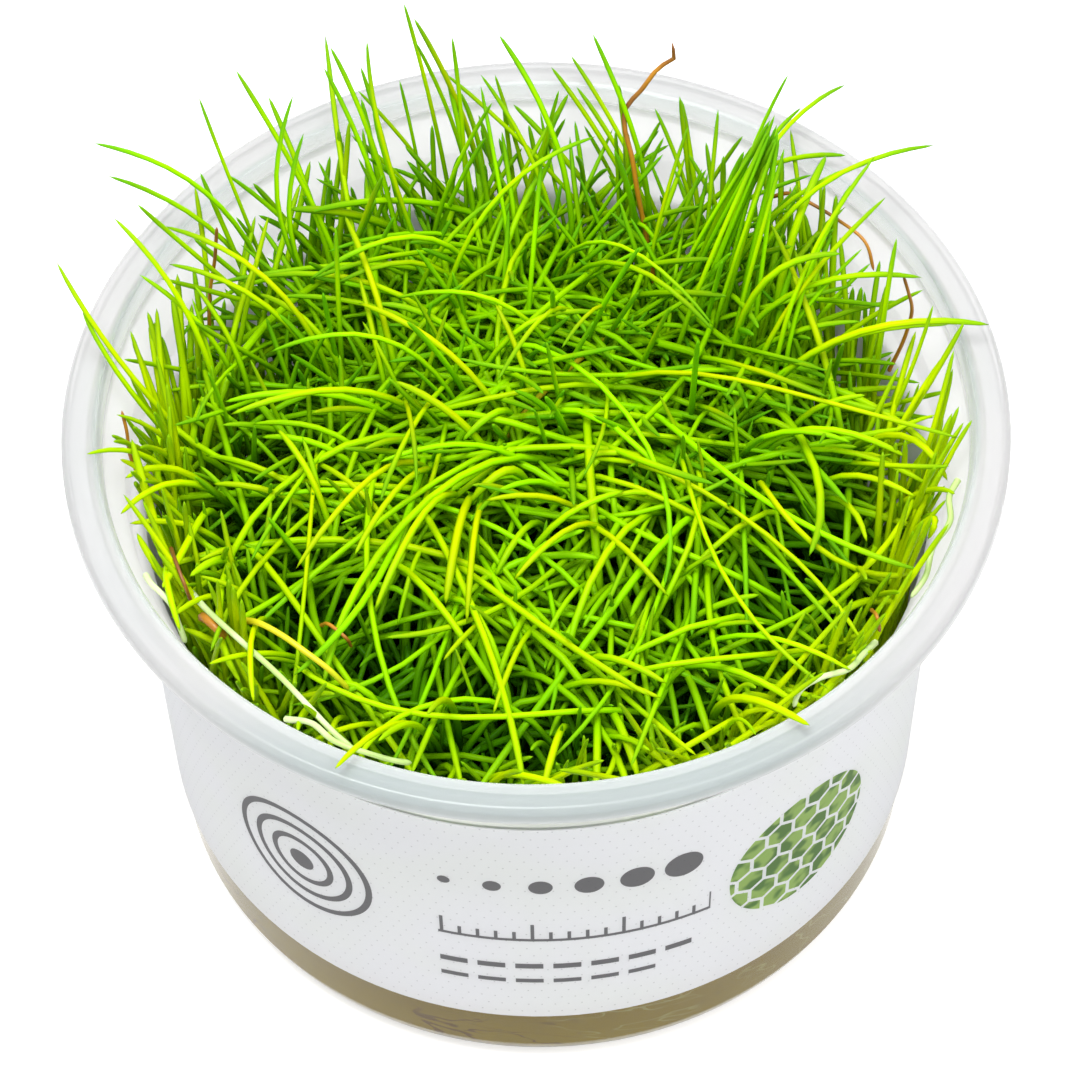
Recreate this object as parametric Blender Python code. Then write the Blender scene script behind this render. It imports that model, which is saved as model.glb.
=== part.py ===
"""Needle spikerush growing in its culture cup.

A clear cup with a rolled flange, a wrap label round its wall, a bed of nutrient gel on its
floor and forty tufts of needle-like stems that stand on the gel and arch up past the rim.
Metres, +Z up, with the origin at the centre of the cup's underside.
"""

import math
import random

import bmesh
import bpy
import numpy as np
from mathutils import Matrix, Vector

# Cup
SIDES = 48
FLANGE_RADIUS = 0.0500
RIM_HEIGHT = 0.0624
FLANGE_INNER_RADIUS = 0.0462
FLANGE_THICKNESS = 0.0010
LIP_THICKNESS = 0.0008
LIP_DROP = 0.0021
WALL_THICKNESS = 0.0008
FLOOR_THICKNESS = 0.0008
FOOT_RADIUS = 0.0372
WALL_FOOT_RADIUS = 0.0404
WALL_FOOT_HEIGHT = 0.0030
WALL_TOP_RADIUS = 0.0427
WALL_TOP_HEIGHT = 0.0494
STEP_RADIUS = 0.0437
STEP_HEIGHT = 0.0505
BAND_RADIUS = 0.0444
BAND_HEIGHT = 0.0545
LEDGE_RADIUS = 0.0464
LEDGE_HEIGHT = 0.0585
NECK_RADIUS = 0.0470

# Label and gel
GAP = 0.0003
LABEL_BOTTOM = 0.0101
LABEL_TOP = 0.0490
LABEL_THICKNESS = 0.00025
GEL_TOP = 0.0128

# Tufts
SPIRAL_PLACES = 41
STEMS_PER_TUFT = 5
TUFT_FIELD_RADIUS = 0.0365
GOLDEN_ANGLE = math.radians(137.508)
CROWN_FOOT_RADIUS = 0.0028
CROWN_RADIUS = 0.0024
CROWN_HEIGHT = 0.0016
STEM_INSET = 0.00028
STEM_STATIONS = (0.0, 0.26, 0.48, 0.68, 0.86, 1.0)
STEM_TAPER = (1.0, 0.88, 0.78, 0.64, 0.42)
STEM_ROOT_REACH = 0.00095
STEM_TIP_REACH = 0.00035
FREE_ROOT = 0.0070
WALL_CLEARANCE = 0.0013
SAMPLE_STEP = 0.0008
MARKED_LIFTS = (0.4, 0.55, 0.7)
MARKED_TRIES = 160
OTHER_TRIES = 800
OUTER_TUFTS = 0.0250
FRONT_CANOPY = 0.0610
BACK_CANOPY = 0.0810
SEED = 11

# A way down between the stems to the gel, as low and high x, y and z
CLEARING_LOW = (0.0165, -0.0190, GEL_TOP)
CLEARING_HIGH = (0.0255, -0.0100, 0.1200)

# Stems that reach past the rim, each with the point it bends at and the point it ends at
MARKED_STEMS = (
    ((-0.044, 0.004, 0.064), (-0.050, 0.014, 0.073)),
    ((-0.043, -0.001, 0.069), (-0.047, -0.005, 0.0645)),
    ((-0.034, 0.022, 0.081), (-0.046, 0.026, 0.078)),
    ((-0.033, 0.026, 0.070), (-0.035, 0.032, 0.078)),
    ((-0.029, 0.031, 0.073), (-0.031, 0.034, 0.080)),
    ((-0.031, 0.025, 0.075), (-0.025, 0.032, 0.078)),
    ((-0.017, 0.034, 0.076), (-0.021, 0.037, 0.080)),
    ((-0.021, 0.028, 0.073), (-0.017, 0.036, 0.082)),
    ((-0.009, 0.036, 0.079), (-0.012, 0.039, 0.082)),
    ((-0.007, 0.036, 0.072), (-0.008, 0.038, 0.080)),
    ((0.001, 0.034, 0.081), (-0.003, 0.039, 0.079)),
    ((0.010, 0.031, 0.068), (0.007, 0.038, 0.080)),
    ((0.010, 0.034, 0.073), (0.015, 0.037, 0.079)),
    ((0.014, 0.027, 0.066), (0.017, 0.030, 0.074)),
    ((0.022, 0.024, 0.060), (0.0275, 0.030, 0.082)),
    ((0.022, 0.023, 0.058), (0.026, 0.027, 0.079)),
    ((0.026, 0.015, 0.070), (0.0365, 0.0235, 0.076)),
    ((0.031, 0.016, 0.072), (0.0375, 0.0195, 0.074)),
    ((0.035, 0.011, 0.067), (0.0385, 0.0155, 0.072)),
    ((0.039, 0.004, 0.059), (0.042, 0.008, 0.070)),
    ((0.040, -0.005, 0.052), (0.044, 0.0035, 0.068)),
    ((-0.0375, 0.015, 0.076), (-0.044, 0.019, 0.074)),
    ((-0.039, 0.018, 0.068), (-0.0415, 0.020, 0.075)),
    ((-0.018, -0.041, 0.0665), (-0.021, -0.0455, 0.0645)),
    ((0.022, -0.039, 0.0665), (0.027, -0.0415, 0.0645)),
    ((0.021, -0.038, 0.0660), (0.0215, -0.0425, 0.0645)),
)


def clear_the_scene():
    for old in list(bpy.data.objects):
        bpy.data.objects.remove(old)


def finish_material(name, colour, roughness, transmission=0.0, ior=1.45):
    """A plain Principled material with a part's own colour and gloss."""
    made = bpy.data.materials.new(name)
    made.use_nodes = True
    shader = made.node_tree.nodes["Principled BSDF"]
    shader.inputs["Base Color"].default_value = (*colour, 1.0)
    shader.inputs["Roughness"].default_value = roughness
    shader.inputs["Metallic"].default_value = 0.0
    shader.inputs["Transmission Weight"].default_value = transmission
    shader.inputs["IOR"].default_value = ior
    return made


def add_part(name, bm, material, sharp_degrees=35.0):
    """Turns a closed bmesh into a named object with its normals outwards."""
    bmesh.ops.recalc_face_normals(bm, faces=bm.faces)
    mesh = bpy.data.meshes.new(name)
    bm.to_mesh(mesh)
    bm.free()
    mesh.materials.append(material)
    mesh.shade_smooth()
    mesh.set_sharp_from_angle(angle=math.radians(sharp_degrees))
    part = bpy.data.objects.new(name, mesh)
    bpy.context.scene.collection.objects.link(part)
    return part


def turned(profile, closed_loop):
    """A solid of revolution about Z from radius and height pairs."""
    bm = bmesh.new()
    line = [bm.verts.new((radius, 0.0, height)) for radius, height in profile]
    ends = list(zip(line, line[1:] + line[:1])) if closed_loop else list(zip(line, line[1:]))
    edges = [bm.edges.new(pair) for pair in ends]
    bmesh.ops.spin(
        bm,
        geom=line + edges,
        cent=(0.0, 0.0, 0.0),
        axis=(0.0, 0.0, 1.0),
        angle=2 * math.pi,
        steps=SIDES,
        use_merge=True,
    )
    bmesh.ops.remove_doubles(bm, verts=bm.verts, dist=1e-6)
    return bm


def wall_radius(height):
    """The outer radius of the cup's wall at a height below the step."""
    share = (height - WALL_FOOT_HEIGHT) / (WALL_TOP_HEIGHT - WALL_FOOT_HEIGHT)
    return WALL_FOOT_RADIUS + share * (WALL_TOP_RADIUS - WALL_FOOT_RADIUS)


def cup_outside():
    """The outer profile, from the middle of the underside to the rim."""
    corner = WALL_FOOT_RADIUS - FOOT_RADIUS
    return [
        (0.0, 0.0),
        (FOOT_RADIUS, 0.0),
        (FOOT_RADIUS + 0.7 * corner, 0.3 * WALL_FOOT_HEIGHT),
        (WALL_FOOT_RADIUS, WALL_FOOT_HEIGHT),
        (WALL_TOP_RADIUS, WALL_TOP_HEIGHT),
        (STEP_RADIUS, STEP_HEIGHT),
        (BAND_RADIUS, BAND_HEIGHT),
        (LEDGE_RADIUS, LEDGE_HEIGHT),
        (NECK_RADIUS, RIM_HEIGHT - FLANGE_THICKNESS),
        (FLANGE_RADIUS - LIP_THICKNESS, RIM_HEIGHT - FLANGE_THICKNESS),
        (FLANGE_RADIUS - LIP_THICKNESS, RIM_HEIGHT - LIP_DROP),
        (FLANGE_RADIUS, RIM_HEIGHT - LIP_DROP),
        (FLANGE_RADIUS, RIM_HEIGHT - 0.5 * FLANGE_THICKNESS),
        (FLANGE_RADIUS - 0.5 * FLANGE_THICKNESS, RIM_HEIGHT),
    ]


def cup_inside():
    """The inner profile, from the rim to the middle of the floor."""
    return [
        (FLANGE_INNER_RADIUS, RIM_HEIGHT),
        (LEDGE_RADIUS - 0.6 * WALL_THICKNESS, LEDGE_HEIGHT + 0.6 * WALL_THICKNESS),
        (BAND_RADIUS - 0.9 * WALL_THICKNESS, BAND_HEIGHT + 0.5 * WALL_THICKNESS),
        (STEP_RADIUS - WALL_THICKNESS, STEP_HEIGHT + 0.4 * WALL_THICKNESS),
        (WALL_TOP_RADIUS - WALL_THICKNESS, WALL_TOP_HEIGHT + 0.4 * WALL_THICKNESS),
        (WALL_FOOT_RADIUS - WALL_THICKNESS, WALL_FOOT_HEIGHT),
        (FOOT_RADIUS, FLOOR_THICKNESS),
        (0.0, FLOOR_THICKNESS),
    ]


def make_cup(material):
    bm = turned(cup_outside() + cup_inside(), closed_loop=False)
    return add_part("cup", bm, material)


def make_label(material):
    """A thin sleeve that follows the wall's taper, just clear of it."""
    low = wall_radius(LABEL_BOTTOM) + GAP
    high = wall_radius(LABEL_TOP) + GAP
    profile = [
        (low, LABEL_BOTTOM),
        (low + LABEL_THICKNESS, LABEL_BOTTOM),
        (high + LABEL_THICKNESS, LABEL_TOP),
        (high, LABEL_TOP),
    ]
    return add_part("label", turned(profile, closed_loop=True), material)


def make_gel(material):
    """The gel fills the foot of the cup and ends in a level top."""
    side = WALL_THICKNESS + GAP
    profile = [
        (0.0, FLOOR_THICKNESS + GAP),
        (FOOT_RADIUS - GAP, FLOOR_THICKNESS + GAP),
        (WALL_FOOT_RADIUS - side, WALL_FOOT_HEIGHT + GAP),
        (wall_radius(GEL_TOP) - side, GEL_TOP),
        (0.0, GEL_TOP),
    ]
    return add_part("nutrient_gel", turned(profile, closed_loop=False), material)


def inner_radius(height):
    """The cup's inner radius at a height, or None above the rim."""
    if height > RIM_HEIGHT:
        return None
    wall = cup_inside()[::-1]
    for (low_radius, low), (high_radius, high) in zip(wall, wall[1:]):
        if low <= height <= high:
            share = (height - low) / max(high - low, 1e-9)
            return low_radius + share * (high_radius - low_radius)
    return wall[0][0]


def kept_inside(point):
    """The point, drawn in to the wall if it lies in it or beyond it below the rim."""
    limit = inner_radius(point.z)
    across = math.hypot(point.x, point.y)
    if limit is None or across <= limit - WALL_CLEARANCE:
        return point
    share = (limit - WALL_CLEARANCE) / across
    return Vector((point.x * share, point.y * share, point.z))


def samples_of(path):
    """Points along a path, close enough together to test clearances with."""
    found = []
    for start, end in zip(path, path[1:]):
        count = max(1, math.ceil((end - start).length / SAMPLE_STEP))
        found += [start.lerp(end, i / count) for i in range(count)]
    return np.array([*found, path[-1]], float)


def clear_of_cup(points):
    """True if a stem along these points clears the wall, the flange and the clearing."""
    across = np.hypot(points[:, 0], points[:, 1])
    for radius, (x, y, z) in zip(across, points):
        limit = inner_radius(z)
        if limit is not None and radius > limit - 0.8 * WALL_CLEARANCE:
            return False
        if limit is None and z < RIM_HEIGHT + WALL_CLEARANCE:
            if radius > FLANGE_INNER_RADIUS - WALL_CLEARANCE:
                return False
    low = np.array(CLEARING_LOW) - STEM_ROOT_REACH
    high = np.array(CLEARING_HIGH) + STEM_ROOT_REACH
    return not ((points > low) & (points < high)).all(1).any()


def reach_of(points):
    """Half a stem's width at each of its points, from its root to its tip."""
    return np.linspace(STEM_ROOT_REACH, STEM_TIP_REACH, len(points))


class Stand:
    """The stems placed so far, as points that a new stem has to stay clear of."""

    def __init__(self):
        self.points = np.zeros((0, 3))
        self.reach = np.zeros(0)
        self.owners = np.zeros(0, int)
        self.from_root = np.zeros(0)

    def has_room(self, points, owner):
        along = np.linalg.norm(points - points[0], axis=1)
        margin = 2 * STEM_ROOT_REACH + GAP
        near = (self.points > points.min(0) - margin) & (self.points < points.max(0) + margin)
        near = near.all(1)
        gaps = np.linalg.norm(points[:, None] - self.points[near][None], axis=2)
        needed = reach_of(points)[:, None] + self.reach[near][None] + GAP
        roots = (along[:, None] < FREE_ROOT) & (self.from_root[near][None] < FREE_ROOT)
        ignored = roots & (self.owners[near][None] == owner)
        return not ((gaps < needed) & ~ignored).any()

    def add(self, points, owner):
        self.points = np.concatenate([self.points, points])
        self.reach = np.concatenate([self.reach, reach_of(points)])
        self.owners = np.concatenate([self.owners, np.full(len(points), owner)])
        along = np.linalg.norm(points - points[0], axis=1)
        self.from_root = np.concatenate([self.from_root, along])


def bezier(corners, share):
    """A point on the cubic curve with these four control points."""
    a, b, c, d = corners
    rest = 1.0 - share
    return (
        a * rest**3
        + b * 3 * rest**2 * share
        + c * 3 * rest * share**2
        + d * share**3
    )


def stem_path(corners):
    return [kept_inside(bezier(corners, share)) for share in STEM_STATIONS]


def canopy_height(y):
    """How high the stand reaches: level at the front, rising towards the back."""
    share = min(max((y + 0.020) / 0.060, 0.0), 1.0)
    smooth = share * share * (3 - 2 * share)
    return FRONT_CANOPY + (BACK_CANOPY - FRONT_CANOPY) * smooth


def in_clearing(place):
    """True if a crown at this place would stand in the clearing."""
    return all(
        low - CROWN_FOOT_RADIUS < value < high + CROWN_FOOT_RADIUS
        for low, value, high in zip(CLEARING_LOW[:2], place, CLEARING_HIGH[:2])
    )


def tuft_places():
    """Crown centres on a sunflower spiral, which spaces them evenly, but for the clearing."""
    places = []
    for index in range(SPIRAL_PLACES):
        share = (index + 0.35) / (SPIRAL_PLACES - 0.65)
        radius = TUFT_FIELD_RADIUS * math.sqrt(share)
        angle = index * GOLDEN_ANGLE
        foot = GEL_TOP + GAP
        place = Vector((radius * math.cos(angle), radius * math.sin(angle), foot))
        if not in_clearing(place):
            places.append(place)
    return places


def stem_root(place, slot):
    """The middle of one of the crown's top faces, and the way it looks."""
    angle = 2 * math.pi * (slot + 0.5) / STEMS_PER_TUFT
    outward = Vector((math.cos(angle), math.sin(angle), 0.0))
    reach = 2 / 3 * CROWN_RADIUS * math.cos(math.pi / STEMS_PER_TUFT)
    return place + outward * reach + Vector((0, 0, CROWN_HEIGHT)), outward


def random_corners(draw, root, outward, heading, upright, shrink):
    """Control points of a stem that grows up and then arches over towards its heading."""
    azimuth = heading + draw.gauss(0.0, 0.55)
    away = Vector((math.cos(azimuth), math.sin(azimuth), 0.0))
    up = Vector((0.0, 0.0, 1.0))
    rise = (canopy_height(root.y) - root.z) * draw.uniform(0.86, 1.0) * shrink
    if upright:
        reach = draw.uniform(0.003, 0.012)
        return [
            root,
            root + outward * 0.002 + up * 0.40 * rise,
            root + away * 0.4 * reach + up * 0.75 * rise,
            root + away * reach + up * rise,
        ]
    reach = draw.uniform(0.010, 0.030) * shrink
    drop = draw.uniform(0.0, 0.18) * rise
    return [
        root,
        root + outward * 0.003 + up * 0.62 * rise,
        root + away * 0.35 * reach + up * 1.12 * rise,
        root + away * reach + up * (rise - drop),
    ]


def marked_corners(root, outward, bend, tip, lift):
    """Control points of a stem that passes near a bend on its way to its tip."""
    up = Vector((0.0, 0.0, 1.0))
    return [
        root,
        root + outward * 0.002 + up * lift * (bend.z - root.z),
        bend + (bend - tip) * 0.45,
        tip,
    ]


def place_marked_stems(places, stand, stems):
    """Grows each marked stem from the nearest crown that still has a free face for it."""
    for bend, tip in MARKED_STEMS:
        bend, tip = Vector(bend), Vector(tip)
        wanted = Vector((tip.x * 0.78, tip.y * 0.78, 0.0))
        order = sorted(
            (math.hypot(place.x - wanted.x, place.y - wanted.y), owner, slot, lift)
            for owner, place in enumerate(places)
            for slot in range(STEMS_PER_TUFT)
            for lift in MARKED_LIFTS
            if slot not in stems[owner]
        )
        for _, owner, slot, lift in order[:MARKED_TRIES]:
            root, outward = stem_root(places[owner], slot)
            path = stem_path(marked_corners(root, outward, bend, tip, lift))
            points = samples_of(path)
            if clear_of_cup(points) and stand.has_room(points, owner):
                stand.add(points, owner)
                stems[owner][slot] = path
                break
        else:
            raise ValueError(f"no crown has room for the stem that ends at {tip}")


def place_other_stems(places, stand, stems):
    """Fills the free faces of every crown with stems that share the crown's heading."""
    draw = random.Random(SEED)
    for owner, place in enumerate(places):
        heading = draw.uniform(0.0, 2 * math.pi)
        if math.hypot(place.x, place.y) > OUTER_TUFTS:
            heading = math.atan2(place.y, place.x) + draw.gauss(0.0, 0.5)
        for slot in range(STEMS_PER_TUFT):
            if slot in stems[owner]:
                continue
            root, outward = stem_root(place, slot)
            share_upright = 0.25 + 0.5 * min(max(place.y / 0.03, 0.0), 1.0)
            for attempt in range(OTHER_TRIES):
                shrink = min(1.0, 1.2 - 0.8 * attempt / OTHER_TRIES)
                upright = draw.random() < share_upright
                corners = random_corners(draw, root, outward, heading, upright, shrink)
                path = stem_path(corners)
                points = samples_of(path)
                if clear_of_cup(points) and stand.has_room(points, owner):
                    stand.add(points, owner)
                    stems[owner][slot] = path
                    break


def grow_stem(bm, face, path):
    """Extrudes a crown face along a path, narrowing it ring by ring to a point."""
    along = Vector((0.0, 0.0, 1.0))
    taper = STEM_TAPER[0]
    for station in range(1, len(path)):
        start, end = path[station - 1], path[station]
        following = path[min(station + 1, len(path) - 1)]
        heading = (following - start).normalized()
        made = bmesh.ops.extrude_discrete_faces(bm, faces=[face])
        face = made["faces"][0]
        bmesh.ops.translate(bm, verts=face.verts, vec=end - face.calc_center_median())
        if station == len(path) - 1:
            bmesh.ops.pointmerge(bm, verts=face.verts, merge_co=end)
            return
        turn = along.rotation_difference(heading).to_matrix()
        bmesh.ops.rotate(bm, verts=face.verts, cent=end, matrix=turn)
        narrow = STEM_TAPER[station] / taper
        bmesh.ops.scale(
            bm, verts=face.verts, vec=(narrow,) * 3, space=Matrix.Translation(-end)
        )
        taper = STEM_TAPER[station]
        along = heading


def make_tuft(name, place, paths, material):
    """A low crown on the gel with one stem grown from each of its top faces."""
    bm = bmesh.new()
    bmesh.ops.create_cone(
        bm,
        segments=STEMS_PER_TUFT,
        radius1=CROWN_FOOT_RADIUS,
        radius2=CROWN_RADIUS,
        depth=CROWN_HEIGHT,
        cap_ends=True,
        cap_tris=True,
        matrix=Matrix.Translation(place + Vector((0, 0, CROWN_HEIGHT / 2))),
    )
    bm.normal_update()
    tops = [face for face in bm.faces if face.normal.z > 0.9]
    bmesh.ops.inset_individual(bm, faces=tops, thickness=STEM_INSET, use_even_offset=True)
    for face in tops:
        centre = face.calc_center_median() - place
        angle = math.atan2(centre.y, centre.x) % (2 * math.pi)
        slot = int(angle / (2 * math.pi / STEMS_PER_TUFT))
        if slot in paths:
            grow_stem(bm, face, paths[slot])
    return add_part(name, bm, material, sharp_degrees=80.0)


def main():
    clear_the_scene()
    plastic = finish_material("clear_plastic", (0.93, 0.96, 0.95), 0.12, 0.92, 1.49)
    paper = finish_material("label_film", (0.90, 0.91, 0.92), 0.35)
    gel = finish_material("nutrient_gel", (0.42, 0.40, 0.14), 0.15, 0.35, 1.34)
    green = finish_material("stems", (0.22, 0.52, 0.02), 0.35)
    make_cup(plastic)
    make_label(paper)
    make_gel(gel)
    places = tuft_places()
    stand = Stand()
    stems = [{} for _ in places]
    place_marked_stems(places, stand, stems)
    place_other_stems(places, stand, stems)
    for index, (place, paths) in enumerate(zip(places, stems)):
        make_tuft(f"tuft_{index + 1:02d}", place, paths, green)


main()
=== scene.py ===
"""Needle spikerush in a clear culture cup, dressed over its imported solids.

The cup, its wrap label and the gel are turned again with fine profiles, and each tuft's few
faceted stems are replaced by a stand of needle-like ones that grow from the same crown. Every
number is in metres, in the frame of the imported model: +Z up, with the origin under the cup.
"""

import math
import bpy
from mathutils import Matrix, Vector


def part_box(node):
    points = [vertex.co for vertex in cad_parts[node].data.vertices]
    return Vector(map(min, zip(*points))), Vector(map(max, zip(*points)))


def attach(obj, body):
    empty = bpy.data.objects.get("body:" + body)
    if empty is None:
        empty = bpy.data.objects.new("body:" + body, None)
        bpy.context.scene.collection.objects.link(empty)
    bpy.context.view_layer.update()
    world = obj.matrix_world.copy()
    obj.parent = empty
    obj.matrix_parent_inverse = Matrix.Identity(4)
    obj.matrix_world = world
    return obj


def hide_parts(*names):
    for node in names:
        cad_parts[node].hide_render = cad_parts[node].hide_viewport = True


bl_info = {
    "name": "Spikerush Culture Cup",
    "version": (1, 0, 0),
    "blender": (4, 5, 0),
    "location": "View3D > Sidebar > Culture Cup",
    "description": "Builds needle spikerush growing in a clear culture cup",
    "category": "Add Mesh",
}

import bmesh
import bpy
import numpy as np
from bpy.props import FloatProperty, FloatVectorProperty, IntProperty, PointerProperty
from mathutils import Matrix, Vector

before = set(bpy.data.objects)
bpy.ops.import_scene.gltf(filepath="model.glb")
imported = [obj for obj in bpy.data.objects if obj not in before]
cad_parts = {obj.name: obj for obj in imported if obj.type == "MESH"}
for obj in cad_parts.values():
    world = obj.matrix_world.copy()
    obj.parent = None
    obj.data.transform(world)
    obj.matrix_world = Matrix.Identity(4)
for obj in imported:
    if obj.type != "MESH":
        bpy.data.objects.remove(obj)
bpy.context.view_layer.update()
BODY = "root"
TUFT_NODES = sorted(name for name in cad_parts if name.startswith("tuft_"))

# What the frame gives
FLANGE_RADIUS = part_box("cup")[1][0]
RIM_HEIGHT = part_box("cup")[1][2]
LABEL_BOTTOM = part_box("label")[0][2]
LABEL_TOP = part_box("label")[1][2]
LABEL_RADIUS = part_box("label")[1][0]
GEL_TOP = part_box("nutrient_gel")[1][2]

# The cup's wall, as heights and outer radii
WALL_FOOT = (0.0030, 0.0404)
WALL_TOP = (0.0494, 0.0427)
WALL_THICKNESS = 0.0008


def wall_radius(height):
    """The outer radius of the cup's tapered wall at a height."""
    share = (height - WALL_FOOT[0]) / (WALL_TOP[0] - WALL_FOOT[0])
    return WALL_FOOT[1] + share * (WALL_TOP[1] - WALL_FOOT[1])


# Settings


def colour_setting(name, description, default):
    """A colour that the panel shows."""
    return FloatVectorProperty(
        name=name, description=description, default=default, subtype="COLOR", size=3
    )


class CupSettings(bpy.types.PropertyGroup):
    """Sizes and finish of the cup."""

    thickness: FloatProperty(
        name="Wall", description="Thickness of the moulded wall", default=WALL_THICKNESS,
        unit="LENGTH",
    )
    steps: IntProperty(name="Steps", description="Steps of a full turn", default=160, min=24)
    tint: colour_setting("Tint", "Colour of light that has passed the plastic", (0.98, 0.985, 0.985))
    roughness: FloatProperty(
        name="Roughness", description="How frosted the plastic looks", default=0.07
    )
    haze: FloatProperty(name="Haze", description="Share of milkiness above the gel", default=0.72)
    milk: colour_setting("Milk", "Colour of the milky plastic", (0.43, 0.426, 0.429))
    streaks: colour_setting(
        "Streaks", "Colour of the fine streaks in the milky plastic", (0.32, 0.36, 0.36)
    )


class LabelSettings(bpy.types.PropertyGroup):
    """Sizes and colours of the wrap label."""

    thickness: FloatProperty(
        name="Film", description="Thickness of the film", default=0.00015, unit="LENGTH"
    )
    film: colour_setting("Film colour", "Colour of the unprinted film", (0.87, 0.875, 0.89))
    ink: colour_setting("Ink", "Colour of the grey print", (0.10, 0.097, 0.105))
    green_ink: colour_setting("Green ink", "Colour of the green print", (0.10, 0.24, 0.03))
    dot_pitch: FloatProperty(
        name="Dots", description="Distance between the film's fine dots", default=0.0015,
        unit="LENGTH",
    )


class GelSettings(bpy.types.PropertyGroup):
    """Colours of the nutrient gel and the roots in it."""

    colour: colour_setting("Gel", "Colour of the gel", (0.225, 0.150, 0.001))
    cloudy: colour_setting("Cloudy gel", "Colour of the gel's paler parts", (0.268, 0.192, 0.003))
    vein: colour_setting("Pale roots", "Colour of fresh roots seen in the gel", (0.42, 0.40, 0.14))
    root: colour_setting("Brown roots", "Colour of old roots seen in the gel", (0.10, 0.035, 0.01))


class StemSettings(bpy.types.PropertyGroup):
    """Number, size and colours of the stems."""

    per_tuft: IntProperty(
        name="Stems", description="Stems of a tuft in the dense front", default=57
    )
    back_share: FloatProperty(
        name="Back share", description="Share of that number grown at the back", default=1.10
    )
    radius: FloatProperty(
        name="Radius", description="Radius of a grown stem", default=0.000405, unit="LENGTH"
    )
    seed: IntProperty(name="Seed", description="Seed of the stand", default=5)
    # Painted light: taller stems and those by the wall get more of the fresh colour
    fresh: colour_setting("Fresh", "Colour of a young stem", (0.50, 0.575, 0.0))
    grown: colour_setting("Grown", "Colour of a full-grown stem", (0.32, 0.78, 0.0))
    lit: colour_setting(
        "Lit", "Colour of stems beside the wall, which light reaches from all round", (0.60, 0.80, 0.0)
    )
    # Painted shade on each stem's sides and underside
    painted_flank_shade: colour_setting("Flank", "Colour of a stem's sides and underside", (0.05, 0.32, 0.0))
    # Painted shade for stems deep below the canopy
    deep: colour_setting("Deep", "Colour of the stems' lower parts", (0.018, 0.12, 0.0))
    tip: colour_setting("Tip", "Colour of a stem's tip", (0.08, 0.30, 0.005))
    glow: colour_setting("Glow", "Colour of light that has passed a stem", (0.36, 0.78, 0.0))
    dead: colour_setting("Dead", "Colour of a dead stem", (0.38, 0.15, 0.01))


class StageSettings(bpy.types.PropertyGroup):
    """Floor and light."""

    floor: colour_setting("Floor", "Colour of the floor", (0.50, 0.50, 0.50))
    sky: FloatProperty(name="Sky", description="Strength of the even light", default=0.94)
    key: FloatProperty(
        name="Key", description="Power of the large overhead light", default=11.4, unit="POWER"
    )


class CultureCupSettings(bpy.types.PropertyGroup):
    """All settings of the cup and what grows in it."""

    cup: PointerProperty(type=CupSettings)
    label: PointerProperty(type=LabelSettings)
    gel: PointerProperty(type=GelSettings)
    stems: PointerProperty(type=StemSettings)
    stage: PointerProperty(type=StageSettings)


# Shader expressions


def operator_of(operation, reflected=False):
    """A method that adds a Math node for a wire and another value, in their written order."""
    if reflected:
        return lambda wire, other: wire.maths(operation, other, wire)
    return lambda wire, other: wire.maths(operation, wire, other)


class Wire:
    """A socket of a material whose arithmetic adds Math nodes."""

    __add__ = operator_of("ADD")
    __radd__ = operator_of("ADD", reflected=True)
    __sub__ = operator_of("SUBTRACT")
    __rsub__ = operator_of("SUBTRACT", reflected=True)
    __mul__ = operator_of("MULTIPLY")
    __rmul__ = operator_of("MULTIPLY", reflected=True)
    __truediv__ = operator_of("DIVIDE")
    __rtruediv__ = operator_of("DIVIDE", reflected=True)
    __pow__ = operator_of("POWER")
    __mod__ = operator_of("FLOORED_MODULO")
    __gt__ = operator_of("GREATER_THAN")
    __lt__ = operator_of("LESS_THAN")

    def __init__(self, nodes, socket):
        self.nodes = nodes
        self.socket = socket

    def __abs__(self):
        return self.maths("ABSOLUTE", self)

    def maths(self, operation, *values):
        sockets = dict(enumerate(values))
        return self.nodes.out(self.nodes.add("ShaderNodeMath", sockets, operation=operation))

    def ramp(self, start, end):
        """0 at start and 1 at end, smoothly in between."""
        values = {"Value": self, "From Min": start, "From Max": end}
        made = self.nodes.add("ShaderNodeMapRange", values, interpolation_type="SMOOTHSTEP")
        return self.nodes.out(made)

    def fade(self, start, end):
        """1 at start and 0 at end, smoothly in between."""
        return 1.0 - self.ramp(start, end)

    def band(self, start, full, fading, end):
        """0 outside a band and 1 in its middle."""
        return self.ramp(start, full) * self.fade(fading, end)


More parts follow.
